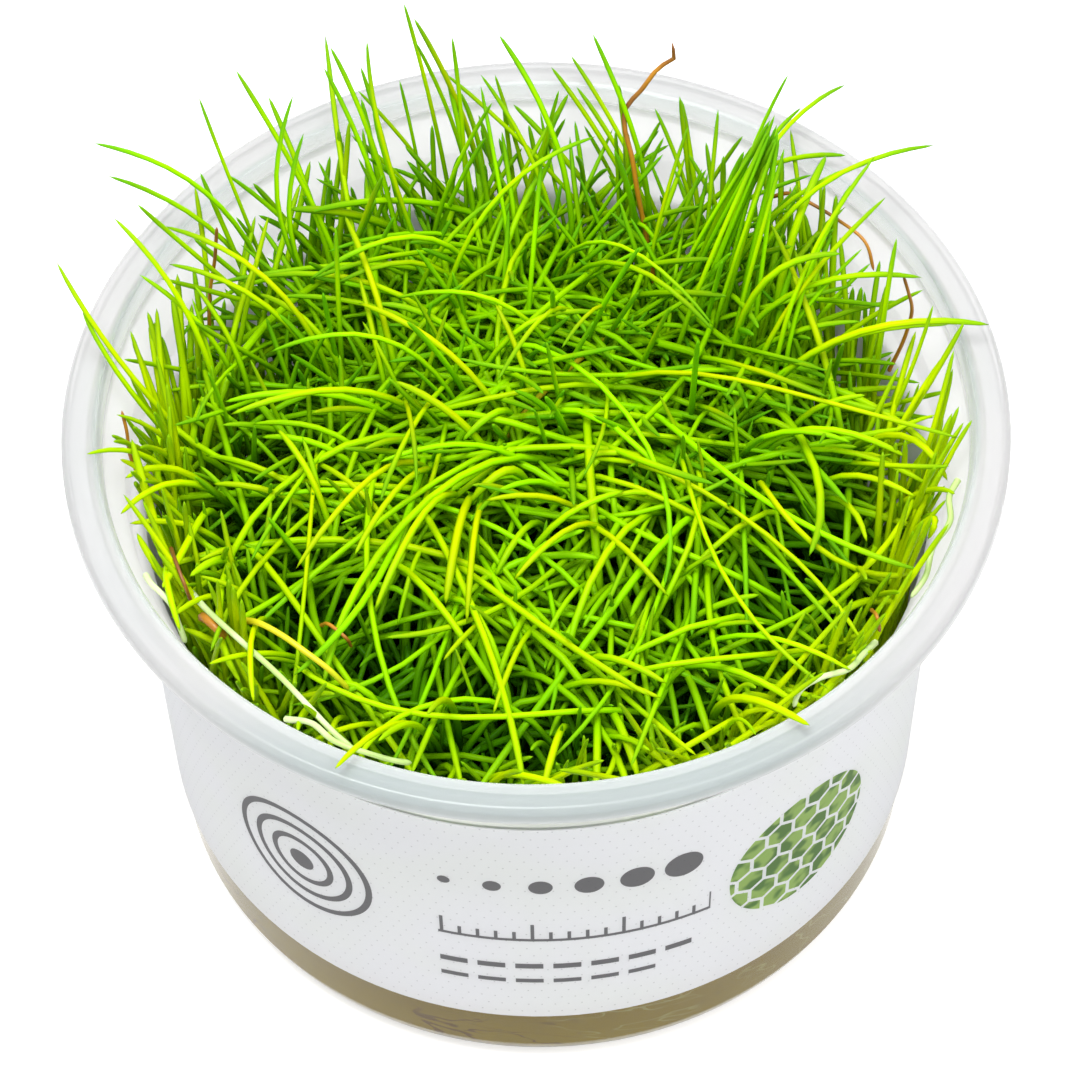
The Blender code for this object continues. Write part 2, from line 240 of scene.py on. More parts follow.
class MaterialNodes:
    """The nodes of one new material."""

    def __init__(self, name):
        self.material = bpy.data.materials.new(name)
        self.material.use_nodes = True
        self.tree = self.material.node_tree
        self.tree.nodes.clear()

    def out(self, node, socket=0):
        return Wire(self, node.outputs[socket])

    def add(self, kind, sockets, **settings):
        """A node of this kind, with its settings made first and its sockets set or linked."""
        node = self.tree.nodes.new(kind)
        for name, value in settings.items():
            setattr(node, name, value)
        for name, value in sockets.items():
            if isinstance(value, Wire):
                self.tree.links.new(value.socket, node.inputs[name])
            elif isinstance(value, (int, float)):
                node.inputs[name].default_value = value
            else:
                parts = tuple(value)
                full = len(node.inputs[name].default_value)
                node.inputs[name].default_value = parts + (1.0,) * (full - len(parts))
        return node

    def place(self):
        """Where a point is, in metres."""
        return self.out(self.add("ShaderNodeTexCoord", {}), "Object")

    def split(self, vector):
        made = self.add("ShaderNodeSeparateXYZ", {0: vector})
        return [self.out(made, axis) for axis in range(3)]

    def join(self, x, y, z):
        return self.out(self.add("ShaderNodeCombineXYZ", {0: x, 1: y, 2: z}))

    def noise(self, vector, scale, detail=2.0, roughness=0.5):
        values = {"Vector": vector, "Scale": scale, "Detail": detail, "Roughness": roughness}
        return self.out(self.add("ShaderNodeTexNoise", values))

    def number(self, attribute):
        """A number that the mesh carries on its vertices."""
        made = self.add("ShaderNodeAttribute", {}, attribute_name=attribute)
        return self.out(made, "Fac")

    def blend(self, share, first, second):
        """The first colour, turned into the second by a share."""
        made = self.add("ShaderNodeMix", {0: share, 6: first, 7: second}, data_type="RGBA")
        return self.out(made, 2)

    def bump(self, height, strength, distance):
        values = {"Height": height, "Strength": strength, "Distance": distance}
        return self.out(self.add("ShaderNodeBump", values))

    def surface(self, values):
        """A Principled surface with its sockets set or linked."""
        return self.out(self.add("ShaderNodeBsdfPrincipled", values))

    def layers(self, share, first, second):
        """The first shader, turned into the second by a share."""
        return self.out(self.add("ShaderNodeMixShader", {0: share, 1: first, 2: second}))

    def backlit(self, share, surface, colour):
        """A surface that lets through a share of the light from behind, in a colour."""
        glow = self.out(self.add("ShaderNodeBsdfTranslucent", {"Color": colour}))
        return self.layers(share, surface, glow)

    def finish(self, shader):
        self.add("ShaderNodeOutputMaterial", {"Surface": shader})
        return self.material


# Meshes

SAME_PLACE = 1e-6


def turned(profile, steps, closed=False, soft_corners=0.0):
    """A solid of revolution about Z from radius and height pairs, with rounded corners."""
    bm = bmesh.new()
    line = [bm.verts.new((radius, 0.0, height)) for radius, height in profile]
    pairs = list(zip(line, line[1:]))
    if closed:
        pairs.append((line[-1], line[0]))
    for pair in pairs:
        bm.edges.new(pair)
    if soft_corners:
        corners = [vert for vert in bm.verts if len(vert.link_edges) == 2]
        bmesh.ops.bevel(
            bm, geom=corners, offset=soft_corners, affect="VERTICES", segments=3, profile=0.5,
            material=-1, clamp_overlap=True,
        )
    bmesh.ops.spin(
        bm, geom=bm.verts[:] + bm.edges[:], cent=(0.0, 0.0, 0.0), axis=(0.0, 0.0, 1.0),
        angle=2 * math.pi, steps=steps, use_merge=True,
    )
    bmesh.ops.remove_doubles(bm, verts=bm.verts, dist=SAME_PLACE)
    bmesh.ops.recalc_face_normals(bm, faces=bm.faces)
    return bm


def show(name, mesh, material, replaced=(), sharp_degrees=None):
    """Links a finished piece, hides the parts it replaces, and lets it ride with the cup."""
    mesh.materials.append(material)
    mesh.shade_smooth()
    if sharp_degrees:
        mesh.set_sharp_from_angle(angle=math.radians(sharp_degrees))
    piece = bpy.data.objects.new(name, mesh)
    bpy.context.scene.collection.objects.link(piece)
    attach(piece, BODY)
    if replaced:
        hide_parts(*replaced)


def mesh_of(name, bm):
    """A mesh made from a bmesh, which is freed."""
    mesh = bpy.data.meshes.new(name)
    bm.to_mesh(mesh)
    bm.free()
    return mesh


# Cup

FOOT_RADIUS = 0.0372
FOOT_INSIDE = (0.5 * (FOOT_RADIUS + WALL_FOOT[1]), 0.5 * WALL_FOOT[0])
UNDERSIDE_RING = 0.030
WALL_STATION = 0.020
FLANGE_THICKNESS = 0.0010
LIP_THICKNESS = 0.0008
LIP_DROP = 0.0021
FLANGE_CREASE = 0.0485
CREASE_HALF_WIDTH = 0.0004
CREASE_DEPTH = 0.00003
SOFT_CORNERS = 0.00022

# The step above the label and the neck that widens from it, as radii and heights
NECK_OUTSIDE = (
    (0.0437, 0.0503), (0.0438, 0.0508), (0.0443, 0.0545), (0.0455, 0.0566), (0.0463, 0.0585),
)
NECK_INSIDE = (
    (0.0457, 0.0592), (0.0449, 0.0576), (0.0437, 0.0550), (0.0434, 0.0513), (0.0428, 0.0506),
)

# The flange's corners, as radii and depths below its underside and below its top
FLANGE_ROOT = ((0.0470, 0.0008), (0.0474, 0.0))
MOUTH_EDGE = (
    (0.0474, 0.0), (0.0467, 0.0001), (0.0462, 0.0004), (0.04585, 0.0010), (0.0457, 0.0018),
)

# How the milky plastic looks in places, with painted shade and painted light in some of them, and the
# light that comes through it
NEAR_FLANGE_SHADE = (0.21, 0.28, 0.28)
NECK_PAINTED_LIGHT = (0.90, 0.90, 0.91)
STEM_GREEN_LIGHT = (0.56, 0.78, 0.16)
MOUTH_EDGE_SHADE = (0.34, 0.44, 0.42)
THROUGH_COLOUR = (0.885, 0.872, 0.885)
PLASTIC_IOR = 1.49

# Where those looks begin and end: heights, distances towards the far side, and radii
HAZE_HEIGHTS = (LABEL_BOTTOM, LABEL_BOTTOM + 0.002)
WALL_END_HEIGHTS = (WALL_TOP[0] - 0.002, WALL_TOP[0])
STEP_HEIGHTS = (WALL_TOP[0] - 0.001, WALL_TOP[0] + 0.003)
NECK_END_HEIGHTS = (RIM_HEIGHT - 0.0035, RIM_HEIGHT - 0.0012)
STEM_GREEN_HEIGHTS = (0.0430, 0.0530)
NEAR_FLANGE_SHADE_PLACES = (-0.0470, -0.0300)
MOUTH_EDGE_RADII = (0.0456, 0.0460, 0.0464, 0.0470)
MOUTH_EDGE_HEIGHTS = (0.0592, 0.0604)
MOUTH_RADII = (0.0460, 0.0472)
MOUTH_HEIGHTS = (0.0600, 0.0608)


def cup_outside():
    """The outer profile, from the middle of the underside to the top of the rim."""
    corner = WALL_FOOT[1] - FOOT_RADIUS
    underside = RIM_HEIGHT - FLANGE_THICKNESS
    lip = FLANGE_RADIUS - LIP_THICKNESS
    rounding = 0.6 * FLANGE_THICKNESS
    return [
        (0.0, 0.0),
        (UNDERSIDE_RING, 0.0),
        (FOOT_RADIUS, 0.0),
        (FOOT_RADIUS + 0.45 * corner, 0.10 * WALL_FOOT[0]),
        (FOOT_RADIUS + 0.80 * corner, 0.42 * WALL_FOOT[0]),
        (WALL_FOOT[1], WALL_FOOT[0]),
        (wall_radius(WALL_STATION), WALL_STATION),
        (WALL_TOP[1], WALL_TOP[0]),
        *NECK_OUTSIDE,
        *[(radius, underside - depth) for radius, depth in FLANGE_ROOT],
        (lip, underside),
        (lip, RIM_HEIGHT - LIP_DROP),
        (FLANGE_RADIUS, RIM_HEIGHT - LIP_DROP),
        (FLANGE_RADIUS, RIM_HEIGHT - rounding),
        (FLANGE_RADIUS - rounding, RIM_HEIGHT),
    ]


def cup_inside(thickness):
    """The inner profile, from the rim to the middle of the floor."""
    return [
        (FLANGE_CREASE + CREASE_HALF_WIDTH, RIM_HEIGHT),
        (FLANGE_CREASE, RIM_HEIGHT - CREASE_DEPTH),
        (FLANGE_CREASE - CREASE_HALF_WIDTH, RIM_HEIGHT),
        *[(radius, RIM_HEIGHT - depth) for radius, depth in MOUTH_EDGE],
        *NECK_INSIDE,
        (WALL_TOP[1] - thickness, WALL_TOP[0]),
        (wall_radius(WALL_STATION) - thickness, WALL_STATION),
        (WALL_FOOT[1] - thickness, WALL_FOOT[0]),
        FOOT_INSIDE,
        (FOOT_RADIUS, thickness),
        (0.0, thickness),
    ]


def plastic_material(settings):
    """Moulded plastic, clear round the gel and milky from the label's lower edge up."""
    nodes = MaterialNodes("clear_moulded_plastic")
    place = nodes.place()
    x, y, z = nodes.split(place)
    reach = (x * x + y * y) ** 0.5
    cloud = nodes.noise(place, 90.0, 3.0)
    streaks = nodes.noise(nodes.join(x * 0.06, y * 0.06, z), 700.0, 3.0)
    clear = nodes.surface(
        {
            "Base Color": settings.tint,
            "Roughness": settings.roughness + (cloud - 0.4) * 0.12,
            "IOR": PLASTIC_IOR,
            "Specular IOR Level": 0.12,
            "Specular Tint": (0.1, 0.1, 0.1),
            "Transmission Weight": 1.0,
        }
    )
    neck = z.fade(*NECK_END_HEIGHTS)
    streaky = streaks.ramp(0.35, 0.70) * (neck * 0.7 + 0.3)
    milky = nodes.blend(streaky, settings.milk, settings.streaks)
    # Painted shade: the flange is darkened towards the near side
    near_flange_shade = y.fade(*NEAR_FLANGE_SHADE_PLACES) * (1.0 - neck)
    milky = nodes.blend(near_flange_shade * 0.62, milky, NEAR_FLANGE_SHADE)
    # Painted light: the neck and the wall below the rim are made paler, as if lit in the flange's
    # shade
    milky = nodes.blend(neck * 0.85, milky, NECK_PAINTED_LIGHT)
    # Painted light: cloudy patches low on the wall are tinted green, as by light from the stems
    stem_green_light = z.fade(*STEM_GREEN_HEIGHTS) * cloud.ramp(0.40, 0.62)
    milky = nodes.blend(stem_green_light * 0.5, milky, STEM_GREEN_LIGHT)
    # Painted shade: a dark grey-green line along the mouth's inner edge, where the curved plastic
    # refracts the stems behind it
    mouth_edge_shade = reach.band(*MOUTH_EDGE_RADII) * z.ramp(*MOUTH_EDGE_HEIGHTS)
    milky = nodes.blend(mouth_edge_shade * 0.6, milky, MOUTH_EDGE_SHADE)
    cloudy = nodes.surface(
        {
            "Base Color": milky,
            "Roughness": 0.25 + cloud * 0.1,
            "IOR": PLASTIC_IOR,
            "Normal": nodes.bump(streaks * 0.6 + cloud * 0.5, 0.22, 0.00025),
        }
    )
    soft_share = 0.25 + neck * z.ramp(*WALL_END_HEIGHTS) * 0.5
    soft = nodes.backlit(soft_share, cloudy, THROUGH_COLOUR)
    share = z.ramp(*HAZE_HEIGHTS) * settings.haze
    share = share + z.ramp(*STEP_HEIGHTS) * neck * 0.18
    mouth = reach.fade(*MOUTH_RADII) * z.ramp(*MOUTH_HEIGHTS)
    return nodes.finish(nodes.layers(share * (1.0 - mouth * 0.6), clear, soft))


class CULTURECUP_OT_cup(bpy.types.Operator):
    """Turn the clear cup with its rolled flange"""

    bl_idname = "culture_cup.cup"
    bl_label = "Cup"

    def execute(self, context):
        settings = context.scene.culture_cup.cup
        profile = cup_outside() + cup_inside(settings.thickness)
        bm = turned(profile, settings.steps, soft_corners=SOFT_CORNERS)
        mesh = mesh_of("cup_shell", bm)
        show("cup_shell", mesh, plastic_material(settings), ["cup"], 50.0)
        return {"FINISHED"}


# Label

# The print, as distances round the wall and heights, with half the width of thin lines
RINGS_AT = (-0.0285, 0.0300)
RINGS_DOT = 0.0016
RING_RADII = (0.0038, 0.0062, 0.0086)
RING_LINE = 0.0004
DISCS_AT = (-0.0110, 0.0375)
DISCS = 6
DISC_PITCH = 0.0052
DISC_RADIUS = 0.0007
DISC_GROWTH = 0.0003
SCALE_ENDS = (-0.0120, 0.0184)
SCALE_LINE = (0.0263, 0.0268)
FIRST_TICK = (-0.0118, 0.0266)
TICK_LINE = 0.0002
TICKS = ((0.0020, 0.0282), (0.0100, 0.0298))
BROKEN_LINES = ((0.0205, 0.0215, 0.0172), (0.0175, 0.0183, 0.0130))
DASH_PITCH = 0.0042
DASH_LENGTH = 0.0031
CELLS_AT = (0.0305, 0.0290)
CELLS_RADIUS = 0.0098
CELL_PITCH = 0.0036
CELL_FILL = 0.43
GREEN_PALE = (0.36, 0.54, 0.12)


def between(value, low, high):
    """1 where a value lies between two others."""
    return (value > low) * (value < high)


def apart_from(place, across, height):
    """How far the surface lies from a place of the print."""
    return ((across - place[0]) ** 2.0 + (height - place[1]) ** 2.0) ** 0.5


def grey_print(across, height):
    """Rings round a dot, a row of growing discs, a ruled scale and two broken lines."""
    from_rings = apart_from(RINGS_AT, across, height)
    marks = between(from_rings, 0.0, RINGS_DOT)
    for radius in RING_RADII:
        marks = marks + between(from_rings, radius - RING_LINE, radius + RING_LINE)
    for index in range(DISCS):
        disc = (DISCS_AT[0] + DISC_PITCH * index, DISCS_AT[1])
        marks = marks + (apart_from(disc, across, height) < DISC_RADIUS + DISC_GROWTH * index)
    ruled = between(across, *SCALE_ENDS)
    marks = marks + ruled * between(height, *SCALE_LINE)
    for pitch, top in TICKS:
        tick = abs((across - FIRST_TICK[0]) % pitch - TICK_LINE) < TICK_LINE
        marks = marks + ruled * tick * between(height, FIRST_TICK[1], top)
    for low, high, end in BROKEN_LINES:
        dash = (across - SCALE_ENDS[0]) % DASH_PITCH < DASH_LENGTH
        marks = marks + dash * between(across, SCALE_ENDS[0], end) * between(height, low, high)
    return marks.ramp(0.0, 0.5)


def green_print(across, height):
    """A round patch of six-sided cells."""
    cells = 0.0
    for shift in (0.0, 0.5):
        sideways = (across / CELL_PITCH + shift) % 1.0 - 0.5
        upwards = ((height / CELL_PITCH / math.sqrt(3) + shift) % 1.0 - 0.5) * math.sqrt(3)
        slope = abs(sideways) * 0.5 + abs(upwards) * (math.sqrt(3) / 2)
        cells = cells + (slope < CELL_FILL) * (abs(sideways) < CELL_FILL)
    return cells * (apart_from(CELLS_AT, across, height) < CELLS_RADIUS)


def label_material(settings):
    """White satin film with a fine dot grid and plain printed motifs."""
    nodes = MaterialNodes("label_film")
    place = nodes.place()
    x, y, z = nodes.split(place)
    across = x.maths("ARCTAN2", x, 0.0 - y) * LABEL_RADIUS
    rows = z / settings.dot_pitch
    columns = across / settings.dot_pitch + rows.maths("FLOOR", rows) * 0.5
    sideways = columns % 1.0 - 0.5
    upwards = rows % 1.0 - 0.5
    dots = ((sideways * sideways + upwards * upwards) ** 0.5).fade(0.04, 0.09)
    cloud = nodes.noise(place, 60.0, 3.0)
    film = nodes.blend(dots * 0.30, settings.film, settings.ink)
    film = nodes.blend(grey_print(across, z) * 0.9, film, settings.ink)
    patches = nodes.noise(place, 420.0, 1.0).ramp(0.4, 0.6)
    greens = nodes.blend(patches, settings.green_ink, GREEN_PALE)
    film = nodes.blend(green_print(across, z), film, greens)
    printed = nodes.surface(
        {
            "Base Color": film,
            "Roughness": 0.42 + (cloud - 0.5) * 0.1,
            "Normal": nodes.bump(cloud, 0.15, 0.0002),
        }
    )
    return nodes.finish(nodes.backlit(0.58, printed, film))


class CULTURECUP_OT_label(bpy.types.Operator):
    """Wrap the film label round the wall"""

    bl_idname = "culture_cup.label"
    bl_label = "Label"

    def execute(self, context):
        settings = context.scene.culture_cup.label
        lean = wall_radius(LABEL_TOP) - wall_radius(LABEL_BOTTOM)
        profile = [
            (LABEL_RADIUS - lean - settings.thickness, LABEL_BOTTOM),
            (LABEL_RADIUS - lean, LABEL_BOTTOM),
            (LABEL_RADIUS, LABEL_TOP),
            (LABEL_RADIUS - settings.thickness, LABEL_TOP),
        ]
        bm = turned(profile, context.scene.culture_cup.cup.steps, closed=True)
        mesh = mesh_of("label_sleeve", bm)
        show("label_sleeve", mesh, label_material(settings), ["label"], 40.0)
        return {"FINISHED"}


# Gel

# How far the gel wets into the wall's inner face, so that no film of air shows between them
GEL_CONTACT = 0.00004
MENISCUS = 0.0009
SPECK_COLOUR = (0.12, 0.09, 0.02)

# Where the paler gel ends, and where roots show at the front, as places towards the back and across
LOWER_HEIGHTS = (0.003, GEL_TOP - 0.002)
ROOTS_AT_FRONT = (-0.030, -0.020)
BROWN_ROOTS = (-0.0120, -0.0080, 0.0020, 0.0050)
PALE_ROOTS = (0.0020, 0.0050, 0.0140, 0.0180)


def gel_material(settings):
    """Cloudy olive gel with a wet gloss, fine specks, and pale and brown roots in it."""
    nodes = MaterialNodes("nutrient_gel")
    place = nodes.place()
    x, y, z = nodes.split(place)
    cloud = nodes.noise(place, 55.0, 4.0, 0.6)
    specks = nodes.noise(place, 900.0, 2.0).ramp(0.62, 0.72)
    lower = z.fade(*LOWER_HEIGHTS)
    paler = cloud.ramp(0.3, 0.7) * 0.4 + lower * 0.6
    colour = nodes.blend(paler, settings.colour, settings.cloudy)
    slanted = nodes.join(x * 0.6 + z * 0.8, y, z * 1.6)
    thread = abs(nodes.noise(slanted, 120.0, 2.0) - 0.5)
    where = nodes.noise(place, 38.0, 1.0)
    pale = thread.fade(0.004, 0.014) * where.ramp(0.50, 0.60)
    brown = thread.fade(0.006, 0.018) * where.fade(0.38, 0.46) * lower
    bent = nodes.join(x * 0.45, y * 0.2, z * 1.8 + x * 0.4)
    rootlet = abs(nodes.noise(bent, 240.0, 2.0) - 0.5).fade(0.006, 0.018)
    rootlet = rootlet * y.fade(*ROOTS_AT_FRONT)
    brown = brown + rootlet * x.band(*BROWN_ROOTS) * lower
    pale = pale + rootlet * x.band(*PALE_ROOTS)
    colour = nodes.blend(pale.ramp(0.0, 1.0) * 0.5, colour, settings.vein)
    colour = nodes.blend(brown.ramp(0.0, 1.0) * 0.7, colour, settings.root)
    gel = nodes.surface(
        {
            "Base Color": nodes.blend(specks * 0.25, colour, SPECK_COLOUR),
            "Roughness": 0.16 + cloud * 0.1,
            "IOR": 1.34,
            "Specular IOR Level": 0.05,
            "Normal": nodes.bump(cloud, 0.3, 0.001),
        }
    )
    return nodes.finish(gel)


class CULTURECUP_OT_gel(bpy.types.Operator):
    """Fill the foot of the cup with gel"""

    bl_idname = "culture_cup.gel"
    bl_label = "Gel"

    def execute(self, context):
        cup = context.scene.culture_cup.cup
        side = cup.thickness - GEL_CONTACT
        edge = wall_radius(GEL_TOP) - side
        profile = [
            (0.0, side),
            (FOOT_RADIUS, side),
            (FOOT_INSIDE[0], FOOT_INSIDE[1] - GEL_CONTACT),
            (WALL_FOOT[1] - side, WALL_FOOT[0]),
            (edge, GEL_TOP),
            (edge - 0.3 * MENISCUS, GEL_TOP - 0.5 * MENISCUS),
            (edge - 1.5 * MENISCUS, GEL_TOP - MENISCUS),
            (0.0, GEL_TOP - MENISCUS),
        ]
        mesh = mesh_of("gel_bed", turned(profile, cup.steps))
        material = gel_material(context.scene.culture_cup.gel)
        show("gel_bed", mesh, material, ["nutrient_gel"], 50.0)
        return {"FINISHED"}


# Stems

STEM_SIDES = 6
STEM_STATIONS = np.array(
    [
        0.0, 0.10, 0.20, 0.29, 0.37, 0.44, 0.50, 0.56, 0.61, 0.66,
        0.71, 0.76, 0.81, 0.86, 0.90, 0.94, 0.967, 0.988, 1.0,
    ]
)
STRAND_STATIONS = np.linspace(0.0, 1.0, 49)
PATH_STEPS = 36
PATH_SHARES = np.linspace(0.0, 1.0, PATH_STEPS + 1)
WALL_MARGIN = 0.0007
MARGIN_SPREAD = 0.0014

# The height of the stand at the front and the back, and from where to where it rises
FRONT_CANOPY = 0.0580
BACK_CANOPY = 0.0670
CANOPY_RISE = (-0.012, 0.034)

# How far out light from the wall reaches the stems, and where that fades towards the back and left
WALL_LIGHT = (0.032, 0.040)
WALL_LIGHT_BACK = (0.006, 0.026)
WALL_LIGHT_RIGHT = (0.0, 0.02)

# How deep below the canopy the painted shade darkens the stems, and where that lessens towards the
# back
SHADE_DEPTHS = (-0.001, 0.0108)
SHADE_BACK = (-0.002, 0.026)

# From where to where the stand changes: outwards, and forwards or backwards from the middle
EDGE_RADII = (0.024, 0.034)
FRONT_STEMS = (0.008, 0.026)
FRONT_WALL = (0.018, 0.036)
BACK_STEMS = (0.004, 0.028)
BACK_WALL = (0.005, 0.028)
BACK_TUFTS = (-0.002, 0.022)

# The solid stems: sides, points of a centre line, and how near equal points lie
SOLID_SIDES = 3
GUIDE_POINTS = 6
SAME_HEIGHT = 1e-5
SAME_TIP = 0.001

# Where stems root, how far they lean out past that, and how many share a shoot and how closely
FIELD_RADIUS = 0.0388
ROOT_SPREAD = 0.0056
ROOT_DEPTH = 0.0010
OVERHANG = 0.003
SHOOT_SIZE = 6
SHOOT_SPREAD = 0.0004

# How many stems go with each drawn line, and how far their feet, tips and middles lie from it
COMPANIONS = 2
MORE_AT_BACK = 3
MORE_IN_TENT = 11
COMPANION_SPREAD = 0.0015
FOOT_SPREAD = 0.0024
TENT_FOOT_SPREAD = 0.0046
STRAY_SPREAD = 0.010
STRAY_BOW = 0.0030

# How many stems lean on the wall beside a tuft, in bundles that root this far out
WALL_STEMS = 48
BUNDLE_SIZE = 6
BUNDLE_RADII = (0.0350, FIELD_RADIUS)
BUNDLE_SPREAD = 0.0005

# The share of all stems that is dead
DEAD_SHARE = 0.002

# How far a drawn line sways at the back, and from what height on it may lean past the wall
LINE_SWAY = 0.0034
FREE_HEIGHTS = (0.050, 0.060)

# Lengths of grown stems, how far from upright those end that lie over, and the steps of a tip
STEM_LENGTHS = (0.022, 0.092)
LYING_LEANS = (1.45, 2.10)
TIP_STEPS = 6

# A place at the back where fewer stems grow
THIN_PLACE = (-0.006, 0.027)
THIN_RADIUS = 0.010
THIN_SHARE = 0.45

# How far out a stem may reach, as radii and heights: the wall, the neck and past the rim
INNER_LIMITS = np.array(
    [
        (FOOT_RADIUS, 0.0),
        (WALL_FOOT[1] - WALL_THICKNESS, WALL_FOOT[0]),
        (WALL_TOP[1] - WALL_THICKNESS, WALL_TOP[0]),
        *NECK_INSIDE[3:0:-1],
        (0.0456, RIM_HEIGHT),
        (0.0470, RIM_HEIGHT + 0.0012),
        (0.0600, RIM_HEIGHT + 0.0024),
    ]
)

# Dark hollows seen in the canopy, as places across it and radii
HOLLOWS = (
    (-0.0015, -0.0049, 0.0026), (-0.0016, -0.0100, 0.0030), (0.0035, -0.0108, 0.0028),
    (-0.0136, -0.0166, 0.0026), (0.0095, -0.0140, 0.0034), (-0.0052, -0.0254, 0.0024),
    (-0.0185, 0.0185, 0.0045), (0.0062, 0.0259, 0.0035), (0.0208, -0.0152, 0.0034),
    (0.0258, -0.0069, 0.0030), (-0.0265, 0.0050, 0.0030), (-0.0190, -0.0152, 0.0024),
    (-0.0175, -0.0228, 0.0024),
)
HOLLOW_DEPTH = 0.032
HOLLOW_SHARE = 0.65

# The tip of the solid stem whose place the curled strand takes
CURLED_TIP = (0.0154, 0.0375, 0.0783)

# The tip at which a whole bundle closes up, like the poles of a tent
TENT_TIP = (0.0260, 0.0270, 0.0790)


def smooth_share(value, start, end):
    """0 below start, 1 above end and a smooth step in between."""
    share = np.clip((value - start) / (end - start), 0.0, 1.0)
    return share * share * (3 - 2 * share)


def reach_of(points):
    """How far out from the cup's axis points lie."""
    return np.hypot(points[..., 0], points[..., 1])


def canopy_height(y):
    """How high the stand reaches: level at the front, rising towards the back."""
    return FRONT_CANOPY + (BACK_CANOPY - FRONT_CANOPY) * smooth_share(y, *CANOPY_RISE)


def by_wall(points):
    """1 beside the wall, where light comes in through the cup, and 0 further in."""
    beside = smooth_share(reach_of(points), *WALL_LIGHT)
    back = smooth_share(points[..., 1], *WALL_LIGHT_BACK)
    return beside * (1 - 0.8 * back) * (0.8 + 0.2 * smooth_share(points[..., 0], *WALL_LIGHT_RIGHT))


def depth_shade(points):
    """Painted shade: 1 deep below the canopy, where stems are darkened as if shaded, and 0 at its top.
    """
    back = smooth_share(points[..., 1], *SHADE_BACK)
    below = canopy_height(points[..., 1]) - points[..., 2]
    return smooth_share(below, *SHADE_DEPTHS) * (1 - 0.60 * back) * (1 - 0.8 * by_wall(points))


def stem_template(stations):
    """One straight stem of unit length and radius along Z: its corners, faces and stations."""
    bm = bmesh.new()
    bmesh.ops.create_circle(bm, cap_ends=True, radius=1.0, segments=STEM_SIDES)
    face = bm.faces[:][0]
    for step in np.diff(stations):
        made = bmesh.ops.extrude_discrete_faces(bm, faces=[face])
        face = made["faces"][0]
        bmesh.ops.translate(bm, verts=face.verts, vec=(0.0, 0.0, step))
    bmesh.ops.pointmerge(bm, verts=face.verts, merge_co=(0.0, 0.0, 1.0))
    bmesh.ops.recalc_face_normals(bm, faces=bm.faces)
    bm.verts.index_update()
    corners = np.array([vert.co for vert in bm.verts])
    faces = [[vert.index for vert in made.verts] for made in bm.faces]
    bm.free()
    return corners, faces, stations


def unit(vectors):
    length = np.linalg.norm(vectors, axis=-1, keepdims=True)
    return vectors / np.maximum(length, 1e-12)


def inner_radius(heights):
    """How far out a stem may reach at each height."""
    return np.interp(heights, INNER_LIMITS[:, 1], INNER_LIMITS[:, 0])


def squeezed_to_wall(paths, margin):
    """Draws in each stem's foot, then how far it spreads from there, to clear the wall."""
    limit = inner_radius(paths[..., 2]) - margin[:, None]
    foot = paths[:, :1, :2]
    inwards = np.minimum(0.0, limit[:, :1] / np.linalg.norm(foot, axis=-1) - 1)
    paths = paths + np.insert(foot * inwards[..., None], 2, 0.0, axis=-1)
    foot = paths[:, :1, :2]
    reach = paths[..., :2] - foot
    along = (foot * reach).sum(-1)
    square = np.maximum((reach**2).sum(-1), 1e-12)
    room = np.maximum(limit**2 - (foot**2).sum(-1), 0.0)
    share = (np.sqrt(along**2 + square * room) - along) / square
    share = np.minimum(1.0, share.min(1))[:, None, None]
    held = paths.copy()
    held[..., :2] = foot + share * reach
    return held


def shares_along(guide):
    """How far along a guide each of its points lies, from 0 to 1."""
    length = np.concatenate([[0], np.cumsum(np.linalg.norm(np.diff(guide, axis=0), axis=1))])
    return length / length[-1]


def along_curve(guide, count, until=1.0):
    """Points along a smooth curve through a guide's points, from its root to a share of it."""
    share = shares_along(guide)
    slope = np.gradient(guide, share, axis=0)
    wanted = np.linspace(0.0, until, count)
    left = np.clip(np.searchsorted(share, wanted, side="right") - 1, 0, len(guide) - 2)
    step = (share[left + 1] - share[left])[:, None]
    u = ((wanted - share[left]) / step[:, 0])[:, None]
    return (
        (2 * u**3 - 3 * u**2 + 1) * guide[left]
        + (u**3 - 2 * u**2 + u) * slope[left] * step
        + (3 * u**2 - 2 * u**3) * guide[left + 1]
        + (u**3 - u**2) * slope[left + 1] * step
    )


def guides_of(node):
    """The centre lines of a tuft's solid stems, from crown to tip, and its crown's middle."""
    bm = bmesh.new()
    bm.from_mesh(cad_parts[node].data)
    bmesh.ops.remove_doubles(bm, verts=bm.verts, dist=SAME_PLACE)
    lowest = min(vert.co.z for vert in bm.verts)
    foot = [vert.co for vert in bm.verts if vert.co.z < lowest + SAME_HEIGHT]
    crown = np.mean(foot, axis=0)
    guides = []
    for tip in bm.verts:
        if len(tip.link_faces) != SOLID_SIDES:
            continue
        ring = {tip}
        seen = {tip}
        line = [np.array(tip.co)]
        for _ in range(GUIDE_POINTS - 1):
            ring = {e.other_vert(vert) for vert in ring for e in vert.link_edges} - seen
            if len(ring) != SOLID_SIDES:
                break
            seen |= ring
            line.append(np.mean([vert.co for vert in ring], axis=0))
        if len(line) == GUIDE_POINTS:
            guides.append(np.array(line[::-1]))
    bm.free()
    return guides, crown


